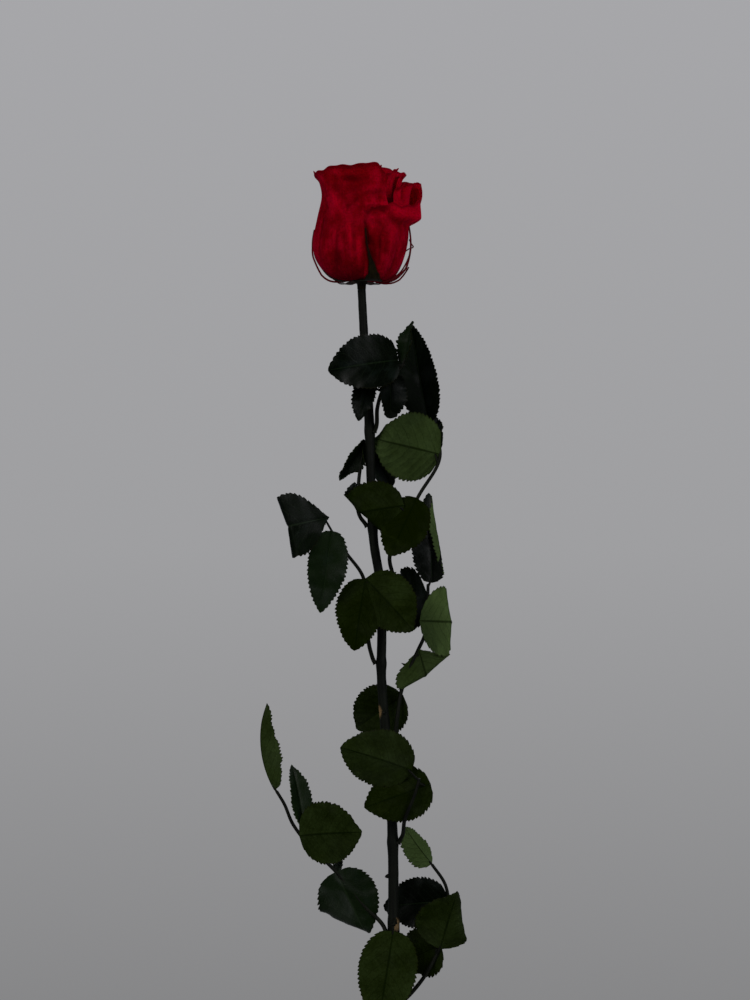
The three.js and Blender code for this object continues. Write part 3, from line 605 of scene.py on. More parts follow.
LEAVES = {
    "leaf_1": dict(node=(484, -40), stalk=[
        (-12.3, -4.8, 496), (-10, -6.6, 504), (-3.5, -10, 513.5), (1.3, -11.5, 517.6),
    ], leaflets=[
        leaflet((-2.2, -12.4, 519.5), (-36, -21, 515.5), 30, (0.3, -1, 0.3), taper=0.88, phase=1, tone=-0.1),
        leaflet((1.5, -11.5, 518), (2.6, -10, 539.5), 13, (-0.85, -0.6, 0.1), fold=22, tone=0.5, back=-0.6),
        leaflet((-6, -8.6, 512), (-4.6, -13, 491), 17, (0.5, -1, 0.1), taper=0.6, fold=24, tone=-0.2),
        leaflet((-17, -7.2, 510), (-22, -13, 490), 13, (-0.1, -1, 0.1), fold=18, tone=-0.2),
    ]),
    "leaf_2": dict(node=(397.5, 20), stalk=[
        (-4, 0.6, 407), (-6.2, -1.6, 421.5), (1.5, -3.4, 439), (8, -2.6, 451.5), (19.2, 5, 473), (13, 11, 492),
    ], leaflets=[
        leaflet((13.6, 11, 489), (2.6, 12, 539.5), 24, (-0.3, -1, 0.1), fold=28, phase=2),
        leaflet((19, 5, 473), (-11, 3, 480.5), 36, (0.1, 1, 0.1), length=36, fold=8, phase=0.5, ribs=-0.4,
                tone=0.1, back=0.34, curl=(0.72, 8, 80, 5)),
        leaflet((19.2, 5.6, 475), (12, 24, 492), 18, (-0.7, -0.7, 0.3), fold=20, tone=0.1),
        leaflet((0.8, -4.8, 447.5), (-25, -12.8, 443.6), 29, (0, 1, 0.1), length=39.5, fold=6, back=-0.06,
                curl=(0.52, -39, 165, 2.0)),
        leaflet((7.2, -4, 451), (-6.4, -12, 420.5), 25, (0.2, 1, 0.1), phase=2.4, back=-0.25),
    ]),
    "leaf_3": dict(node=(368, 178), stalk=[
        (-15.6, -1.5, 374), (-18, -5.6, 400), (-19.2, -6.8, 411), (-28, -10, 424), (-35.2, -13, 434.6),
    ], leaflets=[
        leaflet((-36.2, -13, 441.5), (-57.7, -20, 437), 33, (-0.2, -1, 0.1), length=48, taper=3.2, fold=6,
                tone=0.05, curl=(0.4, 1, -160, 2.0)),
        leaflet((-35, -13.4, 434.6), (-40, -20, 394.5), 21, (0.1, -1, 0.1), phase=0.7, tone=0.55),
        leaflet((-18.4, -7.4, 410.5), (-25, -18, 374), 25, (-0.15, 1, 0.1), phase=2, back=-0.09),
        leaflet((-18, -7.6, 411), (7.4, -18, 385), 29, (0.1, 1, 0.1), phase=1.1, back=0.02),
    ]),
    "leaf_4": dict(node=(331, 10), stalk=[
        (-2.4, 1.2, 341), (-0.6, 3.4, 353), (8, 4.4, 374.5), (11, 5.4, 381), (13, 8, 400), (13.2, 9, 408),
    ], leaflets=[
        leaflet((15.2, 9, 408.5), (13.6, 15, 454), 20, (0, -1, 0.1), fold=8, arch=8, tone=-0.3, back=0.68,
                curl=(1.12, -82.4, 145, 0.6)),
        leaflet((13, 8.4, 401.5), (-4, 24, 398), 34, (-0.2, -1, 0.1), phase=2.2, tone=0.1),
        leaflet((9, 3.4, 389.5), (24, -1, 389.2), 36, (0.1, 1, 0), length=31, taper=1.4, fold=6, tone=0.1,
                back=0.68, curl=(0.42, -6, 150, 2.4)),
        leaflet((8.6, 4, 375), (12.4, 0, 361.5), 33, (0.1, 1, 0.1), length=34, taper=2.6, fold=6, tone=0.1,
                back=0.32, curl=(0.3, -20, 150, 2.4)),
        leaflet((0.4, 5.8, 352), (-25, 18, 333), 29, (0.1, -1, 0.1), phase=0.4, turned=True, back=0.0),
    ]),
    "leaf_5": dict(node=(436.5, 170), stalk=[
        (-20.6, 1, 441), (-21.8, 2.6, 456.5), (-20.6, 4.4, 468), (-18.6, 6, 479.5),
    ], leaflets=[
        leaflet((-18.6, 6, 480), (-31, 2, 458.5), 14, (0.7, -0.7, 0.3), fold=40, tone=0.2,
                curl=(0.7, 30, 70, 4)),
        leaflet((-18, 6.2, 479.6), (-2.6, 14, 456.5), 20, (0.2, -1, 0.3), fold=24, tone=0.2),
    ]),
    "leaf_6": dict(node=(278.5, -30), stalk=[
        (0.2, -5.4, 283), (1.2, -10.2, 291), (6.2, -12.4, 304), (8.6, -12, 312),
    ], leaflets=[
        leaflet((4.8, -11.4, 316), (-31.8, -20, 330), 31, (0.1, 1, 0.1), phase=2.6, back=0.03),
        leaflet((14, -9.4, 309), (-19, -9.4, 297), 29, (0.1, 1, -0.1), phase=0.9, back=-0.08),
    ]),
    "leaf_7": dict(node=(233, 200), stalk=[
        (-9, -0.6, 236.5), (-18, 1, 246), (-33, 5, 263.5), (-49, 9, 279), (-55, 11, 287), (-59.4, 12.6, 297),
        (-63.4, 14, 303.4),
    ], leaflets=[
        leaflet((-64, 14, 303.8), (-85.5, 15, 341), 20, (1, 0.25, 0.5), length=45, fold=58, arch=-50, phase=1.6,
                tone=0.1, back=0.18),
        leaflet((-49.4, 10, 285), (-53.4, 18, 317.5), 14, (0.5, -0.9, 0), fold=24, tone=1.0),
        leaflet((-51.4, 6.5, 281.6), (-18.4, -2, 285.5), 33, (0.1, 1, 0.1), fold=5, phase=0.2, back=0.06),
        leaflet((-33, 4.6, 263.5), (-18, -4, 233), 31, (0, -1, 0.1), length=36, fold=8, tone=0.45,
                curl=(0.8, -54, -140, 2.2)),
        leaflet((-33.4, 5, 263.4), (-30.4, 9, 270.5), 5, (0, -1, 0.2), tone=0.1),
    ]),
    "leaf_8": dict(node=(197, 20), stalk=[
        (2.2, 2.6, 200.6), (9, 4, 208), (19.6, 7, 227), (23.6, 9, 246), (22, 10, 256), (14.8, 11, 267),
    ], leaflets=[
        leaflet((15, 11, 266.8), (-0.8, 6, 285.5), 17, (-0.5, 0.9, -0.3), fold=26, back=0.62),
        leaflet((23.2, 9.2, 248.5), (-11, 18, 244.5), 27, (0.1, -1, 0.2), phase=1.2, tone=-0.2),
        leaflet((19.2, 5.4, 224.8), (27, -4, 256.5), 33, (-0.1, 1, 0.1), length=35, taper=1.5, fold=6,
                back=0.05, curl=(0.9, 67, 140, 2.2)),
        leaflet((19.4, 7, 226.4), (0.5, 14, 217), 27, (0.1, -1, 0.2), phase=2, turned=True, back=-0.1),
    ]),
    "leaf_9": dict(node=(239, -80), stalk=[
        (-4, -5.4, 239.5), (-4.4, -6.6, 238),
    ], leaflets=[
        leaflet((-4.4, -6.6, 235.5), (-11.5, -17, 190.5), 31, (0.1, 1, 0.1), phase=0.6, back=0.08),
    ]),
}
print(sum(len(leaf["leaflets"]) for leaf in LEAVES.values()), "leaflets on", len(LEAVES), "leaves")


# %% Shaping a leaflet
def leaflet_shape(u):
    """Half-width at a share u of the midrib, as a share of the greatest."""
    return np.clip(np.sin(math.pi * np.clip(u, 0, 1) ** 0.74), 0, 1) ** (0.5 + 0.22 * u)


def bend(points, start, angle, radius, skew=0.0):
    """Wraps the blade round a cylinder beyond a line across it, by angle, towards its upper side."""
    side = np.sign(angle)
    turn = abs(math.radians(angle))
    across = level_direction(skew)
    beyond = (points[:, 0] - start) * across[0] + points[:, 1] * across[1]
    theta = np.minimum(beyond / radius, turn)
    rest = np.maximum(beyond - radius * turn, 0)
    height = side * points[:, 2]
    along = (radius - height) * np.sin(theta) + rest * np.cos(theta)
    lifted = radius - (radius - height) * np.cos(theta) + rest * np.sin(theta)
    bent = np.column_stack([
        points[:, 0] + (along - beyond) * across[0],
        points[:, 1] + (along - beyond) * across[1],
        side * lifted,
    ])
    return np.where((beyond <= 0)[:, None], points, bent)


TOOTH_PITCH = 2.0
TOOTH_DEPTH = 1.25
DEEPEST_TOOTH = 0.4  # as a share of the half-width
RIPPLE = 0.7
GROOVE = 0.3


def leaflet_relief(spec, u, v, y, seed):
    """How far the blade stands up before it is curled: ribs, midrib's groove, edge and ripple."""
    count = u * VEIN_PAIRS - VEIN_SWEEP * np.abs(v) ** 1.25
    ribs = spec.get("ribs", 0.1) * np.abs(np.sin(math.pi * count)) ** 0.7 * 4 * np.abs(v) * (1 - np.abs(v))
    groove = -GROOVE * np.exp(-((y / 0.8) ** 2)) * smooth((1 - u) * 4)
    crinkle = 0.35 * np.abs(v) ** 3 * np.sin(u * 34 + seed * 1.7 + (v > 0) * 2.1) * smooth(u * 5)
    half = spec["width"] / 2 * np.maximum(leaflet_shape(u), 0.15)
    swing = np.sin(u * 11 + spec.get("phase", 0) + 1.7 * (y > 0))
    return ribs + groove + crinkle + RIPPLE * swing * np.minimum((y / half) ** 2, 1)


def leaflet_points(spec, u, v, seed):
    base, tip, face = (np.array(spec[key], float) for key in ("base", "tip", "face"))
    along = (tip - base) / np.linalg.norm(tip - base)
    up = face - along * along.dot(face)
    up /= np.linalg.norm(up)
    across = np.cross(up, along)
    length = spec.get("length", np.linalg.norm(tip - base))
    edge = spec["width"] / 2 * leaflet_shape(u) ** spec.get("taper", 1)
    teeth = max(round(length / TOOTH_PITCH), 4)
    step = (u * teeth + 0.35 * np.sign(v)) % 1.0
    size = 0.75 + 0.35 * np.sin(u * 37 + seed) * np.sin(u * 91 + 2 * seed)
    cut = np.minimum(TOOTH_DEPTH * size, DEEPEST_TOOTH * edge) * (1 - step / 0.8) * (step < 0.8)
    y = v * (edge - cut * np.abs(v) ** 7)
    tilt = math.radians(spec.get("fold", 14))
    z = leaflet_relief(spec, u, v, y, seed) + np.abs(y) * math.sin(tilt)
    points = np.column_stack([u * length, y * math.cos(tilt), z])
    if "curl" in spec:
        share, skew, angle, radius = spec["curl"]
        points = bend(points, share * length, angle, radius, skew)
    arch = spec.get("arch", 18)
    points = bend(points, 0, -arch, length / math.radians(max(abs(arch), 1)))
    return base + points[:, :1] * along + points[:, 1:2] * across + points[:, 2:3] * up


# %% Leaves
LEAF_MATERIALS = [leaf_upper, leaf_under, stalk_skin]
STALK = 2  # its place in that list
STALK_STEPS = 120
STALK_RADII = (1.2, 0.8)
STUB_RADII = [0.05, 0.62, 0.62, 0.6, 0.58, 0.55, 0.5, 0.05]
ROWS_PER_MM = 2.4


def make_stalk(spec):
    """The leaf's stalk from the stem to its end, and the line that it follows."""
    height, direction = spec["node"]
    out = level_direction(direction)
    start = stem_centre(height) + out * (stem_radius(height) + 0.1)
    route = [start, start + out * 3 * GAP + np.array([0, 0, 1.5]), *np.array(spec["stalk"], float)]
    line = np.array([curve_point(route, k / STALK_STEPS, 1.0) for k in range(STALK_STEPS + 1)])
    radii = np.linspace(*STALK_RADII, STALK_STEPS + 1)
    radii *= 1 + 0.25 * np.exp(-((np.arange(STALK_STEPS + 1) / 5.0) ** 2))
    radii[[0, -1]] = POINTED
    return tube("stalk", line, radii, 10, LEAF_MATERIALS, STALK), line


def make_blade(spec, seed):
    """A leaflet: upper material on the side that is up, under material on the other."""
    span = np.linalg.norm(np.subtract(spec["tip"], spec["base"]))
    rows = int(np.clip(round(span * ROWS_PER_MM), 96, 110)) if spec["width"] > 8 else 48
    columns = 28 if spec["width"] > 18 else 20
    side = 1 if spec.get("turned") else 0
    blade = grid_piece(
        "blade", rows, columns, lambda u, v: leaflet_points(spec, u, v, seed), LEAF_MATERIALS, side)
    tone = spec.get("tone", 0)
    paint(blade, "tone", tone)
    paint(blade, "back", spec.get("back", tone))
    other = 1 - 2 * side
    apply_modifier(blade, "SOLIDIFY", thickness=TISSUE * MM, offset=0.0,
                   material_offset=other, material_offset_rim=other)
    return blade


def make_stub(spec, line):
    """A short stalk from the nearest part of the leaf's stalk into the leaflet's midrib."""
    base = np.array(spec["base"], float)
    toward = np.array(spec["tip"], float) - base
    toward /= np.linalg.norm(toward)
    root = line[max(np.argmin(np.linalg.norm(line - base, axis=1)) - 4, 0)]
    ends = np.linspace(root, base + 2.5 * toward, len(STUB_RADII))
    return tube("stub", ends, STUB_RADII, 8, LEAF_MATERIALS, STALK)


def make_leaf(name, spec, seed):
    stalk, line = make_stalk(spec)
    paint(stalk, "scar", 0.0)
    parts = [stalk]
    for k, blade in enumerate(spec["leaflets"]):
        parts += [make_blade(blade, seed * 5 + k * 1.3), make_stub(blade, line)]
    return joined(name + "_tissue", parts, name)


leaves = [make_leaf(name, spec, seed) for seed, (name, spec) in enumerate(LEAVES.items())]

# %% [markdown]
# ## The bloom
# Fourteen petals wrap round one another. Each is a sheet in polar coordinates about the bloom's
# axis: a direction that it faces, how far it spreads, and a section from the foot to the lip. The
# lips roll outwards, and drying has ruffled and creased them.

# %% Bloom
# The section that every petal follows, as (radius, rise).
PETAL_SECTION = [
    (3, 1.2), (12, 0.4), (19.2, 3.0), (23.8, 10.4), (25, 21), (23.2, 33),
    (21, 43.5), (21.8, 51.5), (24.4, 58.5),
]
SHARES = np.linspace(0, 1, 401)
section_line = np.array([curve_point(PETAL_SECTION, share, 0) for share in SHARES])
# `edge` is how far up the section the petal reaches, from its left margin to its right one, seen
# from outside. `lip` leans the petal outwards, `roll` turns its upper edge over, `peak` lifts it near
# the bloom's middle and `flap` stands its corner out. `curl` rolls its left margin outwards, and
# `hug` lays that margin close to the petal below.
OUTER_PETALS = [
    dict(facing=-20, spread=66, lip=1.0, flap=7.2, hug=1.0,
         edge=[0.65, 0.664, 0.675, 0.682, 0.68, 0.69, 0.703, 0.722, 0.77, 0.885, 0.89, 0.89, 0.885]),
    dict(facing=-122, spread=68, lip=1.8, roll=1.0, peak=1.2,
         edge=[0.93, 0.945, 0.945, 0.955, 0.975, 0.985, 0.985, 0.965, 0.88]),
    dict(facing=150, spread=58, lip=1.2, edge=[0.87, 0.94, 0.945, 0.935, 0.93, 0.92, 0.85]),
    dict(facing=52, spread=66, lip=2.6, hug=0.5, peak=3.2,
         edge=[0.92, 0.94, 0.955, 0.975, 1.0, 1.0, 1.0, 0.97, 0.9]),
    dict(facing=10, spread=50, lip=2.0, flap=7.0, curl=0.4, edge=[0.8, 0.84, 0.865, 0.87, 0.87, 0.88, 0.86]),
]
PETAL_COUNT = 14
PETAL_SPACING = 1.55
GOLDEN_ANGLE = 180 * (3 - math.sqrt(5))
# Folds in the dried tissue as (degrees, rise) at both ends, then half-width and how far it stands
# out. A degree is about ARC millimetres of petal.
ARC = 0.42
FOLDS = [
    (-128, 50.5, -112, 50.5, 1.8, -0.5), (-112, 50.5, -72, 49.0, 1.6, -0.6), (-90, 46, -84, 42, 2.2, 0.4),
    (-80, 45.5, -62, 47, 2.0, 0.5), (-83, 42.5, -54, 43, 1.2, -0.5), (-84, 38.0, -55, 37.4, 1.7, 0.9),
    (-82, 33.0, -75, 35.6, 1.3, -0.6), (-75, 35.6, -60, 34.0, 1.3, -0.6), (-60, 34.0, -47, 29.8, 1.4, -0.6),
    (-47, 29.8, -36, 27.2, 1.4, -0.5), (-77, 30, -71, 20, 1.5, 0.8), (-67, 20, -65, 8, 0.9, -0.9),
    (-106, 27.5, -103, 19, 1.5, 0.8), (-100, 27, -98, 11, 0.9, -0.9), (-142, 46, -112, 32, 1.6, 0.5),
    (-131, 47, -103, 33, 1.5, -0.5), (-86, 29, -81, 18, 1.0, -1.3), (-81, 18, -71, 3, 3.0, -2.0),
    (-112, 13, -144, 3, 3.0, -0.4), (-92, 19, -93, 7, 2.4, 0.8), (-50, 24, -52, 10, 3.6, 0.8),
    (-120, 26, -124, 10, 1.2, -0.5), (-150, 30, -152, 12, 1.4, -0.5), (-38, 22, -40, 6, 1.2, -0.5),
    (-40, 52, -44, 44, 1.0, -1.0), (-30, 50, -30, 42, 1.2, 0.9), (-20, 49, -24, 42, 1.2, -0.8),
    (-96, 40, -110, 36, 1.2, -0.4), (-66, 28, -56, 22, 1.1, -0.4), (-134, 24, -140, 14, 1.6, 0.5),
    (-118, 44, -98, 47, 1.2, 0.4), (-160, 44, -140, 36, 1.3, -0.4), (-58, 14, -46, 6, 1.2, -0.5),
]
for at in np.random.default_rng(7).uniform((-24, 18, -10, 8), (160, 46, 10, 20), (22, 4)):
    depth = 0.8 if len(FOLDS) % 3 == 0 else -0.8
    FOLDS.append((at[0], at[1], at[0] + at[2], at[1] - at[3], 1.4, depth))


def wrapped(angle, middle):
    """How far an angle is from the middle, in degrees from -180 to 180."""
    return (angle - middle + 180) % 360 - 180


def creases(angle, rise):
    """How far the dried tissue stands in or out, in millimetres, the same for every petal there."""
    turn = np.radians(angle)
    total = 0.35 * np.sin(turn * 5 + rise * 0.14 + 1) + 0.2 * np.sin(turn * 9 - rise * 0.1)
    for from_angle, from_rise, to_angle, to_rise, width, depth in FOLDS:
        across, along = (to_angle - from_angle) * ARC, to_rise - from_rise
        x, y = wrapped(angle, from_angle) * ARC, rise - from_rise
        share = np.clip((x * across + y * along) / (across**2 + along**2), 0, 1)
        distance = np.hypot(x - share * across, y - share * along)
        total = total + depth * np.exp(-((distance / width) ** 2))
    return total


def flap_share(angle, rise):
    """Where the folded-out corner of the right-hand petal stands out: 0 to 1."""
    angle = wrapped(angle, 0)
    shelf = smooth((rise - 28.0 - 7.0 * smooth((-38 - angle) / 40)) / 4.5)
    window = smooth((angle + 78) / 66) ** 1.3 * smooth((52 - angle) / 30)
    return shelf * window * (0.92 + 0.08 * smooth((rise - 30) / 20))


def slimness(angle, rise):
    """The bloom is slimmer low down, on its right side more than on its left, than its section."""
    right, left = np.maximum(np.cos(angle), 0), np.maximum(-np.cos(angle), 0)
    tucked = 0.07 * (1 - smooth(rise / 14)) - 0.025 * np.exp(-(((rise - 14) / 8) ** 2))
    return 1 - 0.19 * right * (1 - smooth(rise / 36)) - left * tucked


def on_section(line, share):
    """The two numbers of a line with a row for each of SHARES, at other shares."""
    return np.column_stack([np.interp(share, SHARES, line[:, k]) for k in (0, 1)])


def petal_points(petal, u, v, seed):
    edge_noise = 0.008 * np.sin(v * 9 + seed) + 0.006 * np.sin(v * 23 + 2.3 * seed)
    edge = np.interp(v, np.linspace(-1, 1, len(petal["edge"])), petal["edge"])
    reach = np.clip(u * edge + edge_noise * u**4, 0, 1)
    section = on_section(section_line, reach)
    fanned = math.radians(petal["spread"]) * v * (0.3 + 0.7 * smooth(u / 0.3))
    angle = math.radians(petal["facing"]) + fanned
    lean = petal["lip"] * smooth((reach - 0.56) / 0.44)
    inset = petal["inset"]
    radius = section[:, 0] * (1 - inset / 25) * slimness(angle, section[:, 1]) + lean + 0.22 * v
    rise = section[:, 1] + inset * 0.45 * (1 - smooth(u)) - 0.3 * lean
    radius += creases(np.degrees(angle), rise) * smooth(u / 0.3)
    radius += petal.get("flap", 0) * flap_share(np.degrees(angle), rise)
    radius -= petal.get("hug", 0) * smooth((-v - 0.7) / 0.3)
    radius += petal.get("curl", 0) * smooth((-v - 0.72) / 0.28) * smooth((u - 0.5) / 0.3)
    radius += petal["ruffle"] * np.sin(v * 7.5 + seed * 2.1) * smooth((u - 0.75) / 0.25) ** 2
    roll = smooth((u - 0.93) / 0.07)
    radius += petal["roll"] * roll
    rise -= petal["roll"] * 0.7 * roll**2
    x = BLOOM_AXIS[0] + radius * np.cos(angle)
    rise += petal["peak"] * smooth((reach - 0.75) / 0.25) * np.exp(-(((x + 11) / 8) ** 2))
    return np.column_stack([x, BLOOM_AXIS[1] + radius * np.sin(angle), BLOOM_BASE + rise])


def petal_spec(i):
    """Petal i, from the outermost at 0: a spiral of plain ones with the outer five given one by one."""
    inner = i / (PETAL_COUNT - 1)
    petal = dict(facing=40 + i * GOLDEN_ANGLE, spread=54 + 58 * inner, inset=i * PETAL_SPACING,
                 lip=1.4 * (1 - inner), ruffle=0.5, roll=0.5, curl=0.4, peak=1.0,
                 edge=[0.86, 0.93, 0.95 + 0.04 * abs(math.sin(i * 2.7)), 0.93, 0.86])
    if i < len(OUTER_PETALS):
        petal.update(dict(ruffle=0.4, roll=0.9, curl=0), **OUTER_PETALS[i])
    return petal


def make_petal(i):
    petal = petal_spec(i)
    rows, columns = (80, 72) if i < len(OUTER_PETALS) else (44, 44)
    sheet = grid_piece("petal", rows, columns, lambda u, v: petal_points(petal, u, v, i * 1.9), [petal_velvet])
    x, y, rise = (points_of(sheet) - [*BLOOM_AXIS, BLOOM_BASE]).T
    angle = np.degrees(np.arctan2(y, x))
    # Painted light and shade: crease ridges and the folded-out corner are painted lighter, crease valleys
    # darker.
    paint(sheet, "crease_light_and_shade", creases(angle, rise) + 1.9 * flap_share(angle, rise))
    apply_modifier(sheet, "SOLIDIFY", thickness=TISSUE * MM, offset=0.0)
    return sheet


def make_bloom():
    parts = [make_petal(i) for i in range(PETAL_COUNT)]
    heart = [(*BLOOM_AXIS, BLOOM_BASE + rise) for rise in (2.7, 2.8, 5, 11, 20, 27, 29)]
    parts.append(tube("heart", heart, [0.05, 5, 7.2, 6.5, 5, 2.5, 0.05], 20, [petal_velvet]))
    # The heart is painted darker, as painted shade deep inside the bloom.
    paint(parts[-1], "crease_light_and_shade", -0.6)
    return joined("bloom_petals", parts, "bloom")


bloom = make_bloom()

# %% [markdown]
# ## The calyx
# Under the bloom sit the hip, a small cup on the stem's end, and five sepals that follow the petals
# upwards. The front one is a wide wedge. Those at the sides have dried and split into strands that
# stand off the petals, and one bit of strand is bent into a hook.

# %% Calyx
# A strip starts in the direction `facing`, drifts by `turn` and climbs a share of the section.
# `lie` is how far it lies off the petals, from its foot to its tip, and `taper` narrows it. It is as
# thick as other tissue, unless it says how `thick` it is.
SEPALS = [
    dict(facing=-68, turn=-17, climb=0.55, width=22, taper=2.15, red=0.0, lie=(0.5, 0.6, 0.5, 0.3, 0.1)),
    dict(facing=202, turn=-10, climb=0.3, width=8.0, taper=0.8, red=0.0, lie=(0.3, 0.0, -0.5, -0.8, -0.8)),
    dict(facing=58, turn=0, climb=0.5, width=6.4, taper=1.0, red=0.1, lie=(0.6, 0.9, 1.0, 1.3, 1.9)),
    dict(facing=128, turn=0, climb=0.54, width=6.6, taper=1.0, red=0.1, lie=(0.6, 0.9, 1.0, 1.2, 1.5)),
    dict(facing=-8, turn=6, climb=0.58, width=2.2, taper=0.7, red=0.85, thick=0.9,
         lie=(0.4, 0.3, 1.4, 3.0, 2.2, 0.4)),
    dict(facing=-24, turn=14, climb=0.42, width=1.8, taper=0.7, red=0.7, thick=0.7,
         lie=(0.4, 0.2, 0.8, 2.0, 2.4)),
    dict(facing=-14, turn=10, climb=0.36, width=1.4, taper=0.7, red=0.9, thick=0.8,
         lie=(0.4, 0.3, 1.6, 3.4, 4.0)),
    dict(facing=184, turn=-3, climb=0.56, width=1.8, taper=0.5, red=0.85, thick=0.8,
         lie=(0.4, 0.3, 0.7, 0.8, -0.7, -1.3, -1.3)),
]
HOOK = [
    (-1.5, -2, 571.5), (1.2, -1.5, 573.8), (3.4, -1, 575.4), (5.6, 0, 576.6), (4.6, 0, 578.2), (3.6, 0, 580.4),
]
HOOK_RADIUS = 0.32
HOOK_STEPS = 30
# The hip's outline as (radius, rise), with its foot 0.02 mm above the stem's end.
HIP_PROFILE = [
    (0.05, -3.08), (2.0, -3.07), (2.15, -2.95), (2.2, -1.6), (2.35, -0.6),
    (3.0, 0.2), (3.9, 0.9), (4.2, 1.6), (3.4, 2.2), (0.05, 2.3),
]
section_slope = np.gradient(section_line, axis=0)
section_slope /= np.linalg.norm(section_slope, axis=1)[:, None]


def sepal_points(sepal, u, v):
    share = sepal["climb"] * u
    section, slope = on_section(section_line, share), on_section(section_slope, share)
    angle = np.radians(sepal["facing"] + sepal["turn"] * smooth((u - 0.25) / 0.75))
    lie = np.interp(u, np.linspace(0, 1, len(sepal["lie"])), sepal["lie"])
    off = lie + 0.1 * v**2 + creases(np.degrees(angle), section[:, 1]) * smooth((u - 0.3) / 0.4)
    radius = section[:, 0] * slimness(angle, section[:, 1]) + slope[:, 1] * off
    rise = section[:, 1] - slope[:, 0] * off + 1.1 * (1 - smooth(u / 0.5))
    wavy = 1 + 0.1 * np.sin(u * 40 + v * 2)
    half = sepal["width"] / 2 * np.maximum((1 - u) ** sepal["taper"], 0.03) * wavy
    return np.column_stack([
        BLOOM_AXIS[0] + radius * np.cos(angle) - v * half * np.sin(angle),
        BLOOM_AXIS[1] + radius * np.sin(angle) + v * half * np.cos(angle),
        BLOOM_BASE + rise,
    ])


def make_calyx():
    parts = []
    for sepal in SEPALS:
        sheet = grid_piece("sepal", 40, 8, lambda u, v: sepal_points(sepal, u, v), [sepal_skin])
        paint(sheet, "red", sepal["red"])
        apply_modifier(sheet, "SOLIDIFY", thickness=sepal.get("thick", TISSUE) * MM, offset=0.0)
        parts.append(sheet)
    hook_line = [curve_point(HOOK, k / HOOK_STEPS, 1.0) for k in range(HOOK_STEPS + 1)]
    hook_radii = [0.05, *[HOOK_RADIUS] * (HOOK_STEPS - 1), 0.05]
    parts.append(tube("hook", hook_line, hook_radii, 8, [sepal_skin]))
    paint(parts[-1], "red", 0.8)
    centres = [(*BLOOM_AXIS, BLOOM_BASE + rise) for _, rise in HIP_PROFILE]
    parts.append(tube("hip", centres, [radius for radius, _ in HIP_PROFILE], 32, [sepal_skin]))
    return joined("calyx_sepals", parts, "calyx")


calyx = make_calyx()

# %% [markdown]
# ## The vase
# The photograph's lower edge cuts the vase off, so it is a plain one: a thrown bud vase in a pale
# glaze. It is turned as on a wheel: a ring for the foot is drawn up, ring by ring, over the
# shoulder and the lip and down inside.

# %% Glaze
def glaze_material():
    material, tree, shader = new_material("glaze")
    place = object_place(tree)
    height = node(tree, "SeparateXYZ", {0: place}).outputs["Z"]
    cloud = noise(place, 28, 5, 0.6)
    rings = noise(stretched(place, (0.05, 0.05, 1.0)), 420, 3)
    cells = node(tree, "TexVoronoi", {"Vector": place, "Scale": 260.0}).outputs["Distance"]
    specks = ramp(cells, 0.13, 0.06, 0, 0.5)
    colour = mix(cloud, rgb(203, 199, 188), rgb(226, 223, 214))
    colour = mix(specks, colour, rgb(150, 138, 116))
    foot = ramp(scaled(cloud, 0.004, height), 0.0065, 0.004)
    colour = mix(foot, colour, rgb(176, 154, 126))
    lip = ramp(height, 0.1815, 0.1855, 0, 0.35)
    colour = mix(lip, colour, rgb(188, 172, 146))
    roughness = scaled(foot, 0.5, scaled(cloud, 0.12, 0.18))
    bumps = scaled(cloud, 0.6, rings)
    dress(shader, colour, roughness, 0.5, bumps, 0.35, 0.0006, {"Coat Weight": 0.25, "Coat Roughness": 0.12})
    return material


glaze = glaze_material()

# %% Vase
# Both outlines are (radius, height) in millimetres.
OUTSIDE = [(27, 1.2), (31.5, 16), (34, 42), (28, 76), (15.2, 112), (11.8, 146), (12.4, 172), (14, 183)]
INSIDE = [(7.8, 182), (7.8, 146), (11.2, 112), (24, 76), (30, 42), (26, 11)]


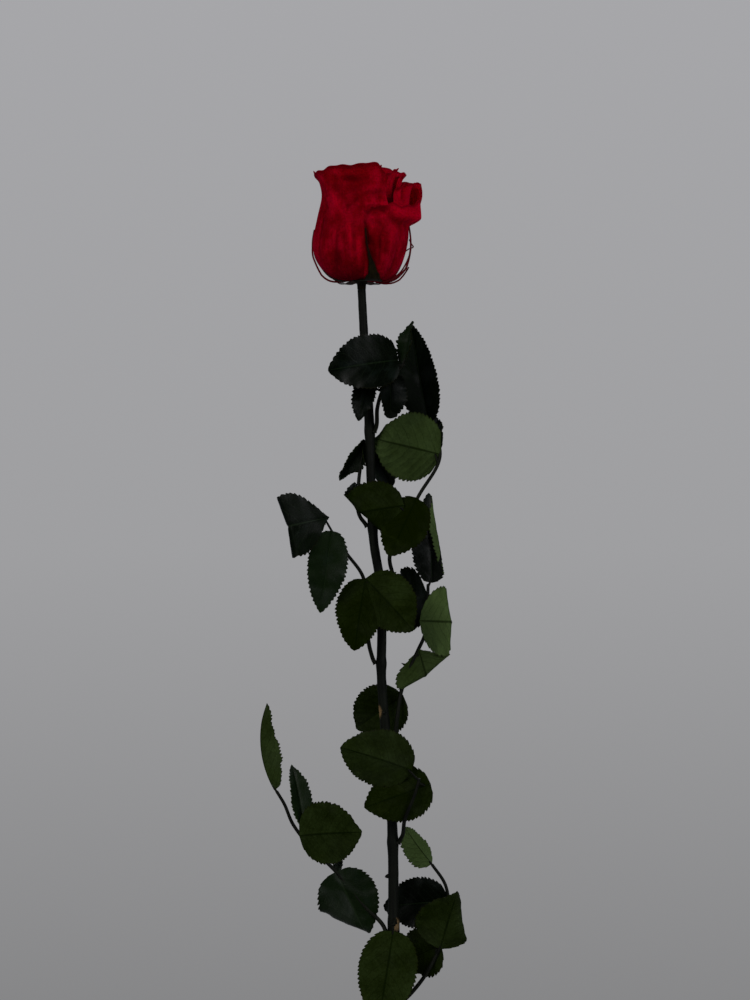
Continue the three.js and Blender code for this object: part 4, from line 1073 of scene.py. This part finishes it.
def vase_profile():
    """Rings from the middle of the base, up the outside and down the inside, as (radius, height)."""
    out = [tuple(curve_point(OUTSIDE, k / 44, 0)) for k in range(45)]
    inner = [tuple(curve_point(INSIDE, k / 32, 0)) for k in range(33)]
    foot = [(24.5, 0.7), (25.2, 0.1), (25.8, 0), (26.5, 0.35)]
    rim = [(13.7, 183.9), (13.1, 184.6), (12.2, 184.95), (11, 185), (9.8, 184.7), (8.9, 184.1), (8.2, 183.2)]
    bottom = [(24, 8.8), (21, 8), (12, 8)]
    return foot + out + rim + inner + bottom


def make_vase():
    first, *rings = vase_profile()
    bpy.ops.object.select_all(action="DESELECT")
    bpy.ops.mesh.primitive_circle_add(
        vertices=96, radius=first[0] * MM, location=(0, 0, first[1] * MM), fill_type="NGON")
    piece = bpy.context.object
    bpy.ops.object.mode_set(mode="EDIT")
    bpy.ops.mesh.select_mode(type="EDGE")
    bpy.ops.mesh.select_all(action="SELECT")
    bpy.ops.mesh.region_to_loop()
    last = first
    for ring in rings:
        bpy.ops.mesh.extrude_edges_move(TRANSFORM_OT_translate={"value": (0, 0, (ring[1] - last[1]) * MM)})
        share = ring[0] / last[0]
        bpy.ops.transform.resize(value=(share, share, 1), center_override=(0, 0, ring[1] * MM))
        last = ring
    bpy.ops.mesh.edge_face_add()
    bpy.ops.mesh.select_all(action="SELECT")
    bpy.ops.mesh.normals_make_consistent(inside=False)
    bpy.ops.object.mode_set(mode="OBJECT")
    piece.data.materials.append(glaze)
    return joined("vase_glazed", [piece], "vase")


vase = make_vase()

# %% [markdown]
# ## The floor
# A pale, slightly uneven disc, small enough that it stays below the photograph's edge.

# %% Floor
bpy.ops.object.select_all(action="DESELECT")
bpy.ops.mesh.primitive_circle_add(vertices=128, radius=0.68, location=(0, 0, -0.0002), fill_type="NGON")
floor = bpy.context.object
floor.name = "floor"
floor_paint, tree, shader = new_material("floor_paint")
cloud = noise(object_place(tree), 6, 4)
feed(shader.inputs["Base Color"], mix(cloud, rgb(205, 205, 206), rgb(214, 214, 214)))
shader.inputs["Roughness"].default_value = 0.8
floor.data.materials.append(floor_paint)
print("floor made")

# %% [markdown]
# ## Sizes
# `plain` rounds a box's corners to five decimal places. The dressed rose has to stay in
# the solids' box.

# %% Finish
def plain(corners):
    return [[round(float(c), 5) for c in corner] for corner in corners]
